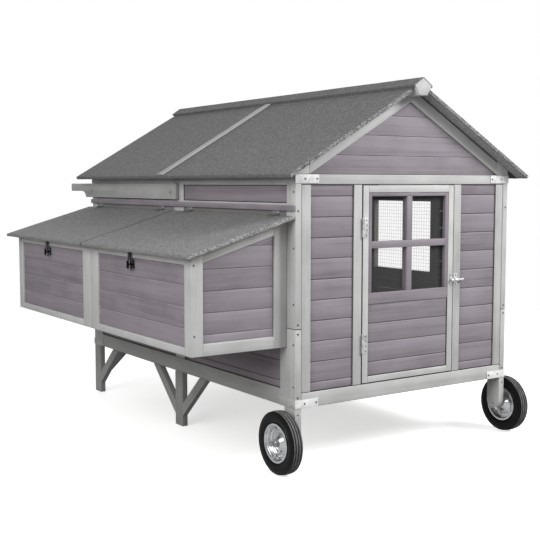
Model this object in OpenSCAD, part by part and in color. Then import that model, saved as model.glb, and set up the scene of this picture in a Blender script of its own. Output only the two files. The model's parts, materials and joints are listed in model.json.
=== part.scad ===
// Chicken tractor: a small wheeled poultry house with a gable roof, a nest box along its
// left side with two lids, a door in the front, and lifting handles at the rear.
// Drawn from the front left corner of the walls, x to the right, y to the rear, z from the
// ground, then moved so that the origin is on the ground under the middle of its box.

/* [House] */
// Width over the side walls
house_w = 1176; // [1000:2:1400]
// Length over the front and rear walls
house_l = 1916; // [1750:2:2200]
// Height of the underside of the walls above the ground
ground_gap = 260; // [240:2:320]
// Height of the walls
wall_h = 921; // [900:1:1000]
// Thickness of a wall frame
wall_t = 30; // [24:1:36]

/* [Boards] */
// Thickness of a wall board
board_t = 10; // [8:1:12]
// Depth of the board faces behind the frame faces
board_recess = 8; // [4:1:12]
// Spacing of the wall boards
board_pitch = 82; // [70:1:100]
// Open joint between two boards
board_gap = 1.2; // [0.6:0.2:2]
// Height of the lowest board joint above the underside of the walls
board_joint_up = 96; // [80:1:120]

/* [Front and rear walls] */
// Width of the stiles next to the corners
front_stile_w = 45; // [35:1:60]
// Width of the door jambs and of the rear middle stile
jamb_w = 43; // [35:1:60]
// Height of the bottom rails
front_bottom_h = 61; // [50:1:75]
// Height of the top rails
front_top_h = 41; // [30:1:60]

/* [Side walls] */
// Width of the corner stiles
side_stile_w = 62; // [45:1:80]
// Width of the stiles at the joint between two panels
mid_stile_w = 44; // [30:1:60]
// Length of the front panel
panel_split = 936; // [880:2:1000]
// Height of the bottom rails
side_bottom_h = 67; // [50:1:80]
// Height of the top rails
side_top_h = 44; // [30:1:55]
// Height of the joint in each corner stile above the underside of the walls
post_joint_up = 315; // [296:1:340]
// Width of the corner stiles' lower lengths on the left
post_foot_w = 107; // [64:1:115]
// Height of the sill rail above the underside of the walls
sill_up = 245; // [220:1:280]
// Height of the sill rails and of the rails round the mesh window
sill_h = 44; // [30:1:50]
// Distance of the lid rail's foot below the top of the walls
lid_rail_down = 160; // [150:1:180]
// Height of the lid rail
lid_rail_h = 47; // [42:1:55]
// Height of the hinge cover strip's foot above the lid rail's foot
strip_lift = 18; // [17:0.5:22]
// Height of the hinge cover strip
strip_h = 22; // [16:1:24]
// Thickness of the hinge cover strip
strip_t = 10; // [6:1:11]

/* [Mesh window] */
// Length of the mesh window in the right wall
side_window_l = 420; // [300:2:500]
// Height of the mesh window's foot above the underside of the walls
side_window_up = 449; // [400:1:480]
// Height of the mesh window
side_window_h = 347; // [250:1:360]
// Spacing of the mesh wires
mesh_pitch = 24; // [24:1:40]
// Thickness of the mesh wires
mesh_wire = 1.6; // [1:0.2:2.4]
// Width of mesh stapled to the frame round the window
mesh_lap = 10; // [5:1:15]

/* [Door] */
// Width of the door
door_w = 504; // [420:2:560]
// Gap beside the door
door_side_gap = 4; // [3:0.5:8]
// Gap over the door
door_top_gap = 3; // [2:0.5:6]
// Gap under the door
door_foot_gap = 4; // [2:0.5:8]
// Thickness of the door
door_t = 24; // [22:1:28]
// Distance that the door stands in front of the wall
door_proud = 2; // [0:0.5:4]
// Width of the door stiles
door_stile_w = 29; // [24:1:40]
// Height of the door's top rail
door_top_h = 30; // [24:1:45]
// Height of the door's bottom rail
door_bottom_h = 27; // [20:1:45]
// Spacing of the door boards
door_board_pitch = 80; // [70:1:95]
// Depth of the door boards behind the door's face
door_board_recess = 6; // [4:1:10]
// Height of the window opening above the foot of the door
door_window_up = 371; // [340:1:400]
// Height of the board under the window
window_sill_h = 46; // [30:1:60]
// Width of the window surround at the sides
surround_w = 18; // [12:1:30]
// Height of the window surround at the top
surround_top_h = 15; // [10:1:30]
// Thickness of the window surround
surround_t = 18; // [14:1:18]
// Depth of the window surround behind the door's face
surround_recess = 2; // [0:0.5:2]
// Width of the window bars
muntin_w = 29; // [18:1:40]
// Thickness of the clear pane
pane_t = 2; // [1.5:0.5:4]
// Width of pane behind the surround
pane_lap = 8; // [5:1:10]
// Depth of the bar that backs the upright muntin behind the pane
backing_t = 10; // [6:1:12]

/* [Hinges] */
// Length of a door hinge
door_hinge_l = 80; // [60:1:100]
// Height of the lower door hinge above the foot of the door
door_hinge_low_up = 125; // [80:1:160]
// Height of the upper door hinge above the foot of the door
door_hinge_high_up = 601; // [520:1:650]
// Width of a door hinge leaf
door_leaf_w = 20; // [16:1:22]
// Radius of the door hinge knuckles
door_knuckle_r = 4; // [3.5:0.25:4.5]
// Length of a lid hinge
lid_hinge_l = 52; // [40:1:70]
// Distance of the lid hinges from the ends of a lid
lid_hinge_in = 110; // [80:1:200]
// Width of a lid hinge leaf
lid_leaf_w = 30; // [20:1:40]
// Radius of the lid hinge knuckles
lid_knuckle_r = 3.5; // [3:0.25:4]
// Thickness of the hinge leaves
leaf_t = 1.5; // [1:0.25:2]
// Radius of the hinge pins
pin_r = 1.8; // [1.5:0.1:2]

/* [Door bolt] */
// Height of the bolt above the foot of the door
bolt_up = 402; // [380:1:430]
// Radius of the bolt rod
bolt_r = 4; // [3:0.5:5]
// Wall of the bolt's guide and keeper tubes
bolt_wall = 3; // [2:0.5:4]
// Travel of the bolt
bolt_throw = 18; // [14:1:22]
// Height of the bolt and keeper plates
bolt_plate_h = 56; // [40:1:70]
// Length of the guide tube on the jamb
guide_l = 22; // [16:1:30]
// Distance of the guide from the edge of the jamb
guide_in = 1; // [0.5:0.5:4]
// Length of the keeper tube on the door
keeper_l = 13; // [8:1:16]
// Distance of the keeper from the edge of the door
keeper_in = 5; // [3:0.5:8]
// Length of the knob on the bolt
bolt_knob_l = 8; // [6:1:12]
// Radius of the knob on the bolt
bolt_knob_r = 7; // [6:0.5:8]

/* [Nest box] */
// Depth of the nest box from the wall
nest_depth = 432; // [360:2:500]
// Distance of the nest box from the front of the house
nest_start = 57; // [40:1:80]
// Distance of the nest box from the rear of the house
nest_rear_in = 33; // [20:1:80]
// Height of the nest box's underside above the underside of the walls
nest_up = 240; // [220:1:280]
// Thickness of the nest box frames
nest_t = 28; // [22:1:32]
// Side of the corner posts
nest_post = 52; // [40:1:60]
// Width of each stile at the middle
nest_mid_w = 82; // [50:1:100]
// Height of the front bottom rails
nest_bottom_h = 30; // [26:1:45]
// Height of the front top rails
nest_top_h = 40; // [25:1:60]
// Height of the end panels' bottom rails
nest_end_bottom_h = 47; // [30:1:60]
// Width of the end panels' inner stiles
nest_inner_w = 60; // [40:1:80]
// Width of the end panels' sloping rails
nest_rake_w = 46; // [30:1:60]
// Height of the first joint of the front boards above their foot
nest_joint_up = 72; // [50:1:80]
// Height of the first joint of the end boards above their foot
nest_end_joint_up = 32; // [20:1:60]
// Thickness of the nest floor
nest_floor_t = 12; // [8:1:16]
// Thickness of the divider between the two nests
divider_t = 12; // [8:1:18]

/* [Nest lids] */
// Slope of the lids in degrees
lid_slope = 16.3; // [12:0.1:18]
// Thickness of the lid boards
lid_board_t = 10; // [8:1:14]
// Overhang of the lids in front of the nest box
lid_front_over = 46; // [36:1:60]
// Overhang of the lids past the ends of the nest box
lid_end_over = 57; // [30:1:70]
// Gap between the two lids
lid_gap = 4; // [1:0.5:5]
// Distance of a lid's back edge from its hinge pin
lid_back = 11; // [9:0.5:16]

/* [Latches] */
// Distance of a latch from the middle of its nest, towards the rear
latch_shift = 40; // [0:1:80]
// Distance of the strap's hinge pin in front of the nest box
strap_out = 9; // [8:0.5:12]
// Radius of the strap's knuckles
strap_knuckle_r = 3.2; // [3:0.1:3.6]
// Width of the strap at its top
strap_w = 25; // [22:1:30]
// Width of the strap at its forked foot
strap_foot_w = 44; // [36:1:54]
// Length of the strap
strap_l = 82; // [76:1:96]
// Thickness of the strap
strap_t = 2; // [1.5:0.25:2.5]
// Width of the slot in the fork
fork_w = 14; // [13:0.5:16]
// Length of the slot in the fork
fork_l = 40; // [38:1:46]
// Height of the strap's shoulders above the slot
strap_shoulder = 6; // [4:0.5:12]
// Height of the lobes at the foot of the strap
lobe_h = 10; // [6:0.5:14]
// Height of the knob's spindle above the foot of the strap
knob_lift = 22; // [20:1:24]
// Length of the knob's grip
knob_l = 30; // [24:1:32]
// Width of the knob's grip
knob_w = 7; // [5:0.5:9]
// Thickness of the knob's grip
knob_t = 9; // [6:0.5:12]
// Radius of the knob's spindle
spindle_r = 4; // [3:0.25:5]
// Side of the plate behind the knob
latch_plate = 34; // [28:1:44]
// Thickness of the plate behind the knob
latch_plate_t = 3; // [2:0.25:4]

/* [Roof] */
// Pitch of the roof in degrees
roof_pitch = 30; // [26:0.5:33]
// Height of the eave plates at the outside of the walls
eave_seat = 22; // [16:1:36]
// Overhang of the roof past the side walls
eave_over = 70; // [50:1:80]
// Overhang of the roof past the front and rear walls
roof_end_over = 59; // [40:1:72]
// Thickness of the roof decks
deck_t = 12; // [8:1:15]
// Thickness of the roofing felt
felt_t = 4; // [2:0.5:5]
// Gap between two roof decks
deck_gap = 2; // [1:0.5:4]
// Distance of that gap behind the middle of the house
roof_split_back = 24; // [0:1:40]
// Width of the battens over the joints of the decks
batten_w = 48; // [24:1:60]
// Thickness of the battens over the joints of the decks
batten_t = 8; // [5:1:14]
// Width of the rake boards
rake_w = 52; // [46:1:64]
// Gap between the rake boards and the roof
rake_gap = 6; // [0.5:0.5:10]

/* [Ridge] */
// Half of the ridge beam's width at its shoulders
ridge_half = 45; // [36:1:50]
// Height of the ridge beam over its shoulders
ridge_crown = 31; // [24:1:38]
// Depth of the ridge beam under its shoulders
ridge_depth = 40; // [30:1:46]
// Height of the shoulders above the roof
ridge_rise = 8; // [3:0.5:14]
// Overhang of the ridge beam past the front and rear walls
ridge_over = 74; // [60:1:85]

/* [Floor and roosts] */
// Thickness of the floor panels
floor_t = 12; // [9:1:16]
// Height of the floor joists
joist_h = 40; // [30:1:44]
// Width of the floor joists
joist_w = 45; // [30:1:60]
// Number of floor joists
joist_count = 5; // [3:1:8]
// Width of a roost bar
roost_w = 45; // [30:1:60]
// Height of a roost bar
roost_h = 38; // [25:1:50]
// Distance of the rear roost bar from the rear wall
roost_back = 286; // [150:2:400]
// Distance between the two roost bars
roost_pitch = 330; // [250:5:400]
// Length of a roost cleat along the wall
cleat_l = 75; // [60:1:100]
// Thickness of a roost cleat
cleat_t = 25; // [18:1:35]

/* [Legs] */
// Width of a leg
leg_w = 70; // [55:1:90]
// Distance from the front of the house to the middle of the centre legs
leg_mid = 952; // [850:2:1050]
// Height of the middle of a wheel leg's round foot above the axle
foot_lift = 22; // [0:1:24]
// Reach of a brace along the wall
brace_reach = 224; // [180:2:280]
// Drop of a brace below the wall
brace_drop = 208; // [160:1:225]
// Height of a brace's cut against the leg
brace_cut = 60; // [40:1:80]

/* [Handles] */
// Thickness of the handles
handle_t = 20; // [16:1:28]
// Height of the handle planks
handle_h = 74; // [64:1:80]
// Gap between the handles and the corner plates over them
handle_gap = 1; // [0.5:0.5:3]
// Distance of the handles' front ends before the joint of the wall panels
handle_lead = 2; // [0:1:40]
// Height of the grips
grip_h = 41; // [34:1:48]
// Length of the grips
grip_l = 140; // [110:1:180]
// Distance that a plank keeps its full height past the rear wall
handle_full = 45; // [30:1:80]
// Length of the curve from the plank to the grip
handle_curve = 60; // [40:1:80]
// Radius of the handle bolts' heads
handle_bolt_r = 8; // [6:0.5:10]
// Height of the handle bolts' heads
handle_bolt_h = 5; // [3:0.5:8]
// Distance of the front bolt from a handle's front end
handle_bolt_in = 46; // [25:1:80]
// Distance of the rear bolt from the rear of the house
handle_bolt_rear = 31; // [20:1:60]

/* [Wheels] */
// Radius of the tyres
wheel_r = 127; // [110:1:140]
// Width of the tyres
tyre_w = 50; // [40:1:58]
// Distance from the front of the house to the axles
wheel_y = 37; // [35:1:45]
// Distance of the wheels' middle from the wall
wheel_out = 45; // [42:1:60]
// Radius of the rims
rim_r = 79; // [70:1:88]
// Thickness of the rims' steel
rim_t = 4; // [3:0.25:5]
// Length of the hubs
hub_l = 64; // [56:1:70]
// Radius of the hubs
hub_r = 17; // [15:0.5:22]
// Radius of the axle bolts
axle_r = 6; // [5:0.5:8]
// Height of the axle bolts' heads
axle_head = 7; // [5:0.5:10]
// Height of the axle nuts
nut_h = 9; // [6:0.5:12]
// Thickness of the washers
washer_t = 2.5; // [1.5:0.25:4]
// Length of axle in front of the nuts
axle_tip = 3; // [2:0.5:8]
// Number of bolts in a rim
rim_bolts = 5; // [3:1:8]
// Radius of the bolts in a rim
rim_bolt_r = 6; // [4:0.5:8]
// Depth of the grooves in the tread
groove_d = 3; // [2:0.5:5]

/* [Corner plates and screws] */
// Length of a corner plate along each wall
plate_l = 112; // [80:1:130]
// Height of a corner plate
plate_h = 34; // [24:1:40]
// Distance of the corner plates from the wall's top and foot
plate_edge = 1; // [0.5:0.5:4]
// Thickness of a corner plate
plate_t = 2; // [1.5:0.25:3]
// Radius of the screw heads
screw_r = 5; // [3:0.25:6]
// Height of the screw heads
screw_h = 1.6; // [1:0.2:2.4]
// Distance of the screws from the edges of the posts
screw_edge = 13; // [9:0.5:15]
// Distance of the post screws from the joint in the corner stiles
post_screw_in = 18; // [12:1:30]
// Distance of the wheel legs' screws below the walls
leg_screw_down = 24; // [15:1:40]

/* [Hidden] */
$fn = 48;

light_paint = "#c6c6c4";
mauve_paint = "#948c94";
felt_grey = "#767676";
bare_wood = "#8d8478";
zinc = "#c2c4c6";
black_steel = "#1c1c1c";

// Clearances
stick_gap = 0.3;
seat_gap = 0.3;
pin_play = 0.06;
knuckle_gap = 0.4;
lid_seat = 0.5;
turn_gap = 0.5;
knob_gap = 1.5;

// Depth that two parts of one piece run into each other
weld = 0.5;

// Levels and lines of the walls
wall_top = ground_gap + wall_h;
mid_x = house_w / 2;
board_joint_z = ground_gap + board_joint_up;
front_low = ground_gap + front_bottom_h;
front_high = wall_top - front_top_h;
side_low = ground_gap + side_bottom_h;
side_high = wall_top - side_top_h;
sill_z = ground_gap + sill_up;
lid_rail_z = wall_top - lid_rail_down;
strip_z = lid_rail_z + strip_lift;
side_window_z = ground_gap + side_window_up;

// Door and its place in the front wall
door_x = mid_x - door_w / 2;
door_end_x = mid_x + door_w / 2;
door_z = front_low + door_foot_gap;
door_top_z = front_high - door_top_gap;
jamb_left_x = door_x - door_side_gap;
jamb_right_x = door_end_x + door_side_gap;
door_in_x = door_x + door_stile_w;
door_in_end_x = door_end_x - door_stile_w;
door_window_z = door_z + door_window_up;
door_window_top = door_top_z - door_top_h - surround_top_h;
surround_y = surround_recess - door_proud;
door_axis = [door_x - door_side_gap / 2, -door_proud - door_knuckle_r - turn_gap];
bolt_z = door_z + bolt_up;
guide_r = bolt_r + bolt_wall;
bolt_y = -door_proud - leaf_t - guide_r + weld;
bolt_tip_rest = jamb_right_x - door_side_gap / 3;
guide_x = jamb_right_x + guide_in;

// Roof lines, with d the distance from the ridge line across the house
roof_t = deck_t + felt_t;
ridge_line_z = wall_top + eave_seat + (roof_t + seat_gap) / cos(roof_pitch) + mid_x * tan(roof_pitch);
function roof_under(d) = ridge_line_z - (roof_t + seat_gap) / cos(roof_pitch) - d * tan(roof_pitch);
function rake_under(d) = roof_under(d) - rake_w / cos(roof_pitch);
rake_end = (rake_under(0) - wall_top) / tan(roof_pitch);
ridge_shoulder_z = ridge_line_z - ridge_half * tan(roof_pitch) + ridge_rise;
ridge_foot_z = ridge_shoulder_z - ridge_depth;
ridge_foot_half = ridge_half - ridge_depth * tan(roof_pitch);
deck_start = ridge_half * cos(roof_pitch) + (ridge_line_z - ridge_shoulder_z) * sin(roof_pitch) + stick_gap;
deck_end = (mid_x + eave_over) / cos(roof_pitch);
roof_split = house_l / 2 + roof_split_back;

// Nest box and lids
nest_z = ground_gap + nest_up;
nest_end = house_l - nest_rear_in;
nest_mid = (nest_start + nest_end) / 2;
nest_front_x = -nest_depth;
nest_post_x = nest_front_x + nest_post;
lid_axis_x = -lid_knuckle_r - turn_gap;
lid_axis_z = lid_rail_z + lid_knuckle_r;
lid_drop = leaf_t;
lid_t = lid_board_t + felt_t;
lid_front_x = nest_front_x - lid_front_over;
lid_reach = (lid_axis_x - lid_front_x + lid_drop * sin(lid_slope)) / cos(lid_slope);
function lid_under(x) = lid_axis_z + (x - lid_axis_x) * tan(lid_slope) - (lid_drop + lid_t) / cos(lid_slope);
function nest_rake_under(x) = lid_under(x) - lid_seat - nest_rake_w / cos(lid_slope);
lid_ends = [[nest_start - lid_end_over, nest_mid - lid_gap / 2],
            [nest_mid + lid_gap / 2, nest_end + lid_end_over]];
latch_y = [(nest_start + nest_mid) / 2 + latch_shift, (nest_mid + nest_end) / 2 + latch_shift];
strap_x = nest_front_x - strap_out;
strap_z = lid_under(strap_x) - strap_knuckle_r - leaf_t - turn_gap;
strap_foot_z = strap_z - strap_l;
knob_z = strap_foot_z + knob_lift;
nest_board_x = nest_front_x + board_recess;

// Wheels and legs
axle_out = wheel_out + hub_l / 2 + turn_gap + washer_t + nut_h + axle_tip;
leg_t = wall_t;
leg_foot = min(wheel_y, leg_w / 2 + 2);
foot_z = wheel_r + foot_lift;

// Middle of the whole object's box on the ground
box_low_x = lid_front_x;
box_high_x = house_w + max(eave_over, axle_out);
box_low_y = min(wheel_y - wheel_r, -ridge_over);
handle_start = panel_split - handle_lead;
handle_z = wall_top - plate_edge - plate_h - handle_gap - handle_h;
handle_end = house_l + handle_full + handle_curve + grip_l;
box_high_y = max(handle_end, house_l + ridge_over);
box_mid = [(box_low_x + box_high_x) / 2, (box_low_y + box_high_y) / 2, 0];

// Helpers
module placed() {
  translate(-box_mid) children();
}

// Box between two corners
module block(low, high) {
  translate(low) cube(high - low);
}

// Flat outline in x and z, thickened to the rear from y
module across(y, t) {
  translate([0, y + t, 0]) rotate([90, 0, 0]) linear_extrude(t) children();
}

// Flat outline in y and z, thickened to the right from x
module along(x, t) {
  translate([x, 0, 0]) rotate([90, 0, 90]) linear_extrude(t) children();
}

// Heights of the board joints between two levels
least_row = 6;
function row_edges(low, high, joint, pitch) =
  concat([low],
         [for (k = [ceil((low + least_row - joint) / pitch) : floor((high - least_row - joint) / pitch)])
            joint + k * pitch],
         [high]);

// Row of flat boards between two sides and two levels
module board_rows(side0, side1, low, high, joint, pitch) {
  edges = row_edges(low, high, joint, pitch);
  for (i = [0 : len(edges) - 2])
    translate([side0 + stick_gap, edges[i] + board_gap / 2])
      square([side1 - side0 - 2 * stick_gap, edges[i + 1] - edges[i] - board_gap]);
}

// Both ends or both sides of the house
module at_rear() {
  translate([0, house_l, 0]) mirror([0, 1, 0]) children();
}

module at_right() {
  translate([house_w, 0, 0]) mirror([1, 0, 0]) children();
}

// Roof slope, x down the slope from the ridge line and z out of the roof
module on_slope(side) {
  translate([mid_x, 0, ridge_line_z]) mirror([side < 0 ? 1 : 0, 0, 0]) rotate([0, roof_pitch, 0]) children();
}

// Lid plane, x towards the wall from the hinge pin and z out of the lid
module on_lid() {
  translate([lid_axis_x, 0, lid_axis_z]) rotate([0, -lid_slope, 0]) children();
}

// Knuckles that carry the pin, along z
module pin_knuckles(l, r) {
  third = (l - 2 * knuckle_gap) / 3;
  cylinder(r = r, h = third);
  translate([0, 0, l - third]) cylinder(r = r, h = third);
  cylinder(r = pin_r, h = l);
}

// Knuckle that turns on the pin, along z
module turning_knuckle(l, r) {
  third = (l - 2 * knuckle_gap) / 3;
  translate([0, 0, third + knuckle_gap]) difference() {
    cylinder(r = r, h = third);
    translate([0, 0, -1]) cylinder(r = pin_r + pin_play, h = third + 2);
  }
}

// Places of the outer thirds and of the middle third of a hinge
function outer_thirds(l) = let (third = (l - 2 * knuckle_gap) / 3) [[0, third], [l - third, l]];
function middle_third(l) =
  let (third = (l - 2 * knuckle_gap) / 3)
  [third + knuckle_gap, 2 * third + knuckle_gap];

// Front and rear walls
module end_wall_rails() {
  block([wall_t + stick_gap, 0, ground_gap], [house_w - wall_t - stick_gap, wall_t, front_low]);
  block([wall_t + stick_gap, 0, front_high], [house_w - wall_t - stick_gap, wall_t, wall_top]);
  for (x = [wall_t + stick_gap, house_w - wall_t - stick_gap - front_stile_w])
    block([x, 0, front_low + stick_gap], [x + front_stile_w, wall_t, front_high - stick_gap]);
}

module front_wall_frame() {
  color(light_paint) placed() {
    end_wall_rails();
    for (x = [jamb_left_x - jamb_w, jamb_right_x])
      block([x, 0, front_low + stick_gap], [x + jamb_w, wall_t, front_high - stick_gap]);
  }
}

module front_wall_boards() {
  stile_end = wall_t + stick_gap + front_stile_w;
  color(mauve_paint) placed() across(board_recess, board_t) {
    board_rows(stile_end, jamb_left_x - jamb_w, front_low, front_high, board_joint_z, board_pitch);
    board_rows(jamb_right_x + jamb_w, house_w - stile_end, front_low, front_high, board_joint_z, board_pitch);
  }
}

module rear_wall_frame() {
  color(light_paint) placed() at_rear() {
    end_wall_rails();
    block([mid_x - jamb_w / 2, 0, front_low + stick_gap],
          [mid_x + jamb_w / 2, wall_t, front_high - stick_gap]);
  }
}

module rear_wall_boards() {
  stile_end = wall_t + stick_gap + front_stile_w;
  color(mauve_paint) placed() at_rear() across(board_recess, board_t) {
    board_rows(stile_end, mid_x - jamb_w / 2, front_low, front_high, board_joint_z, board_pitch);
    board_rows(mid_x + jamb_w / 2, house_w - stile_end, front_low, front_high, board_joint_z, board_pitch);
  }
}

// Side walls, each of two panels, with [start, end] of every panel between its stiles
function bays_between(stile_w) = [[stile_w, panel_split - mid_stile_w],
                                  [panel_split + stick_gap + mid_stile_w, house_l - stile_w]];
panel_bays = bays_between(side_stile_w);
foot_bays = bays_between(post_foot_w);

module side_rail(bay, low, high) {
  block([0, bay[0] + stick_gap, low], [wall_t, bay[1] - stick_gap, high]);
}

module side_wall_sticks(foot_w) {
  post_joint = ground_gap + post_joint_up;
  for (stile = [[panel_split - mid_stile_w, panel_split],
                [panel_split + stick_gap, panel_split + stick_gap + mid_stile_w]])
    block([0, stile[0], side_low + stick_gap], [wall_t, stile[1], wall_top]);
  for (y = [0, house_l - foot_w])
    block([0, y, ground_gap], [wall_t, y + foot_w, post_joint - stick_gap]);
  for (y = [0, house_l - side_stile_w])
    block([0, y, post_joint], [wall_t, y + side_stile_w, wall_top]);
  for (bay = [[foot_w, panel_split + stick_gap], [panel_split, house_l - foot_w]])
    side_rail(bay, ground_gap, side_low);
  for (bay = panel_bays)
    side_rail(bay, side_high, wall_top);
}

module left_wall_frame() {
  color(light_paint) placed() {
    side_wall_sticks(post_foot_w);
    for (bay = foot_bays)
      side_rail(bay, sill_z, sill_z + sill_h);
    for (bay = panel_bays)
      side_rail(bay, lid_rail_z, lid_rail_z + lid_rail_h);
  }
}

module left_wall_boards() {
  color(mauve_paint) placed() along(board_recess, board_t) {
    for (bay = foot_bays)
      board_rows(bay[0], bay[1], side_low, sill_z, board_joint_z, board_pitch);
    for (bay = panel_bays)
      board_rows(bay[0], bay[1], lid_rail_z + lid_rail_h, side_high, side_high, board_pitch);
  }
}

window_end = panel_bays[0][1];
window_start = window_end - side_window_l;

module right_wall_frame() {
  sub_stile = window_start - mid_stile_w;
  color(light_paint) placed() at_right() {
    side_wall_sticks(side_stile_w);
    block([0, sub_stile, side_low + stick_gap], [wall_t, window_start, side_high - stick_gap]);
    side_rail([window_start, window_end], side_window_z - sill_h, side_window_z);
    side_rail([window_start, window_end],
              side_window_z + side_window_h, side_window_z + side_window_h + sill_h);
    side_rail(panel_bays[1], sill_z, sill_z + sill_h);
  }
}

module right_wall_boards() {
  front_bay = [panel_bays[0][0], window_start - mid_stile_w];
  rear_bay = panel_bays[1];
  over_window = side_window_z + side_window_h + sill_h;
  color(mauve_paint) placed() at_right() along(board_recess, board_t) {
    board_rows(front_bay[0], front_bay[1], side_low, side_high, board_joint_z, board_pitch);
    board_rows(window_start, window_end, side_low, side_window_z - sill_h, board_joint_z, board_pitch);
    board_rows(window_start, window_end, over_window, side_high, side_high, board_pitch);
    board_rows(rear_bay[0], rear_bay[1], side_low, sill_z, board_joint_z, board_pitch);
    board_rows(rear_bay[0], rear_bay[1], sill_z + sill_h, side_high, board_joint_z, board_pitch);
  }
}

module window_mesh() {
  columns = floor((side_window_l - mesh_wire) / mesh_pitch);
  rows = floor((side_window_h - mesh_wire) / mesh_pitch);
  hole = mesh_pitch - mesh_wire;
  mid_y = (window_start + window_end) / 2;
  mid_z = side_window_z + side_window_h / 2;
  color(zinc) placed() at_right() along(wall_t, mesh_wire) difference() {
    translate([window_start - mesh_lap, side_window_z - mesh_lap])
      square([side_window_l + 2 * mesh_lap, side_window_h + 2 * mesh_lap]);
    for (i = [0 : columns - 1], j = [0 : rows - 1])
      translate([mid_y + (i - columns / 2) * mesh_pitch + mesh_wire / 2,
                 mid_z + (j - rows / 2) * mesh_pitch + mesh_wire / 2])
        square(hole);
  }
}

// Gables at both ends
module at_both_ends() {
  children();
  at_rear() children();
}

// One rake board on the left, in x and z
module rake_outline() {
  d_mid = stick_gap / 2;
  notch_top = roof_under(ridge_half) - rake_gap;
  d_notch = ridge_half - (notch_top - ridge_foot_z + seat_gap) * tan(roof_pitch);
  polygon([for (p = [[rake_end, wall_top + seat_gap], [rake_end, roof_under(rake_end) - rake_gap],
                     [ridge_half, notch_top], [d_notch, ridge_foot_z - seat_gap],
                     [d_mid, ridge_foot_z - seat_gap], [d_mid, rake_under(d_mid)]])
             [mid_x - p[0], p[1]]]);
}

module gable_frames() {
  block_end = mid_x - rake_end - stick_gap;
  color(light_paint) placed() at_both_ends() across(0, wall_t)
    for (side = [0, 1])
      translate([side * house_w, 0]) mirror([side, 0]) {
        rake_outline();
        polygon([[0, wall_top], [block_end, wall_top],
                 [block_end, roof_under(mid_x - block_end)], [0, roof_under(mid_x)]]);
      }
}

module gable_boards() {
  inset = 2 * stick_gap;
  peak = rake_under(0) - inset;
  color(mauve_paint) placed() at_both_ends() across(board_recess, board_t) intersection() {
    board_rows(0, house_w, wall_top, peak - least_row, board_joint_z, board_pitch);
    polygon([[mid_x - rake_end + inset, wall_top], [mid_x + rake_end - inset, wall_top], [mid_x, peak]]);
  }
}

module eave_plates() {
  ends = [wall_t + stick_gap, house_l - wall_t - stick_gap];
  color(light_paint) placed()
    for (side = [0, 1])
      translate([side * house_w, 0, 0]) mirror([side, 0, 0])
        across(ends[0], ends[1] - ends[0])
          polygon([[0, wall_top], [wall_t, wall_top],
                   [wall_t, roof_under(mid_x - wall_t)], [0, roof_under(mid_x)]]);
}

// Roof
module ridge_beam() {
  color(light_paint) placed() across(-ridge_over, house_l + 2 * ridge_over) translate([mid_x, 0])
    polygon([[-ridge_foot_half, ridge_foot_z], [ridge_foot_half, ridge_foot_z],
             [ridge_half, ridge_shoulder_z], [0, ridge_shoulder_z + ridge_crown],
             [-ridge_half, ridge_shoulder_z]]);
}

// Felt over the ridge, turned down beside each shoulder to just above the roof
module ridge_felt() {
  tilt = atan(ridge_crown / ridge_half);
  skirt = ridge_rise * cos(roof_pitch) - turn_gap;
  shoulder = [ridge_half, ridge_shoulder_z];
  beside = [cos(roof_pitch), -sin(roof_pitch)];
  hem = shoulder - skirt * [sin(roof_pitch), cos(roof_pitch)] + seat_gap * beside;
  out = felt_t * beside;
  corner = (out + felt_t * [sin(tilt), cos(tilt)]) / (1 + sin(tilt - roof_pitch));
  crown = [0, ridge_shoulder_z + ridge_crown];
  right = [crown, shoulder, hem, hem + out, shoulder + corner, crown + [0, felt_t / cos(tilt)]];
  color(felt_grey) placed() across(-ridge_over, house_l + 2 * ridge_over) translate([mid_x, 0])
    polygon(concat(right, [for (i = [4:-1:1]) [-right[i][0], right[i][1]]]));
}

deck_spans = [[-roof_end_over, roof_split - deck_gap / 2],
              [roof_split + deck_gap / 2, house_l + roof_end_over]];

module deck_block(span) {
  block([deck_start, span[0] + felt_t, -roof_t], [deck_end - felt_t, span[1] - felt_t, -felt_t]);
}

module roof_decks() {
  color(bare_wood) placed()
    for (side = [-1, 1], span = deck_spans)
      on_slope(side) deck_block(span);
}

module roof_felt() {
  color(felt_grey) placed()
    for (side = [-1, 1], span = deck_spans)
      on_slope(side) difference() {
        block([deck_start, span[0], -roof_t], [deck_end, span[1], 0]);
        block([deck_start - 1, span[0] + felt_t, -roof_t - 1],
              [deck_end - felt_t, span[1] - felt_t, -felt_t]);
      }
}

module roof_battens() {
  color(light_paint) placed()
    for (side = [-1, 1])
      on_slope(side)
        block([deck_start + felt_t + ridge_rise, roof_split - batten_w / 2, 0],
              [deck_end, roof_split + batten_w / 2, batten_t]);
}

// Floor and roosts
floor_z = ground_gap + joist_h;

module floor_panels() {
  color(bare_wood) placed()
    for (span = [[wall_t + stick_gap, panel_split - stick_gap],
                 [panel_split + stick_gap, house_l - wall_t - stick_gap]])
      block([wall_t + stick_gap, span[0], floor_z],
            [house_w - wall_t - stick_gap, span[1], floor_z + floor_t]);
}

module floor_joists() {
  first = wall_t + stick_gap;
  step = (house_l - 2 * first - joist_w) / (joist_count - 1);
  color(bare_wood) placed()
    for (i = [0 : joist_count - 1])
      block([wall_t + stick_gap, first + i * step, ground_gap],
            [house_w - wall_t - stick_gap, first + i * step + joist_w, floor_z]);
}

module roosts() {
  bar_z = sill_z + sill_h + seat_gap;
  rear_y = house_l - wall_t - roost_back;
  color(bare_wood) placed()
    for (i = [0, 1]) {
      y = rear_y - i * roost_pitch;
      block([wall_t + stick_gap, y - roost_w / 2, bar_z],
            [house_w - wall_t - stick_gap, y + roost_w / 2, bar_z + roost_h]);
      for (x = [wall_t, house_w - wall_t - cleat_t])
        block([x, y - cleat_l / 2, sill_z], [x + cleat_t, y + cleat_l / 2, sill_z + sill_h]);
    }
}

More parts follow.
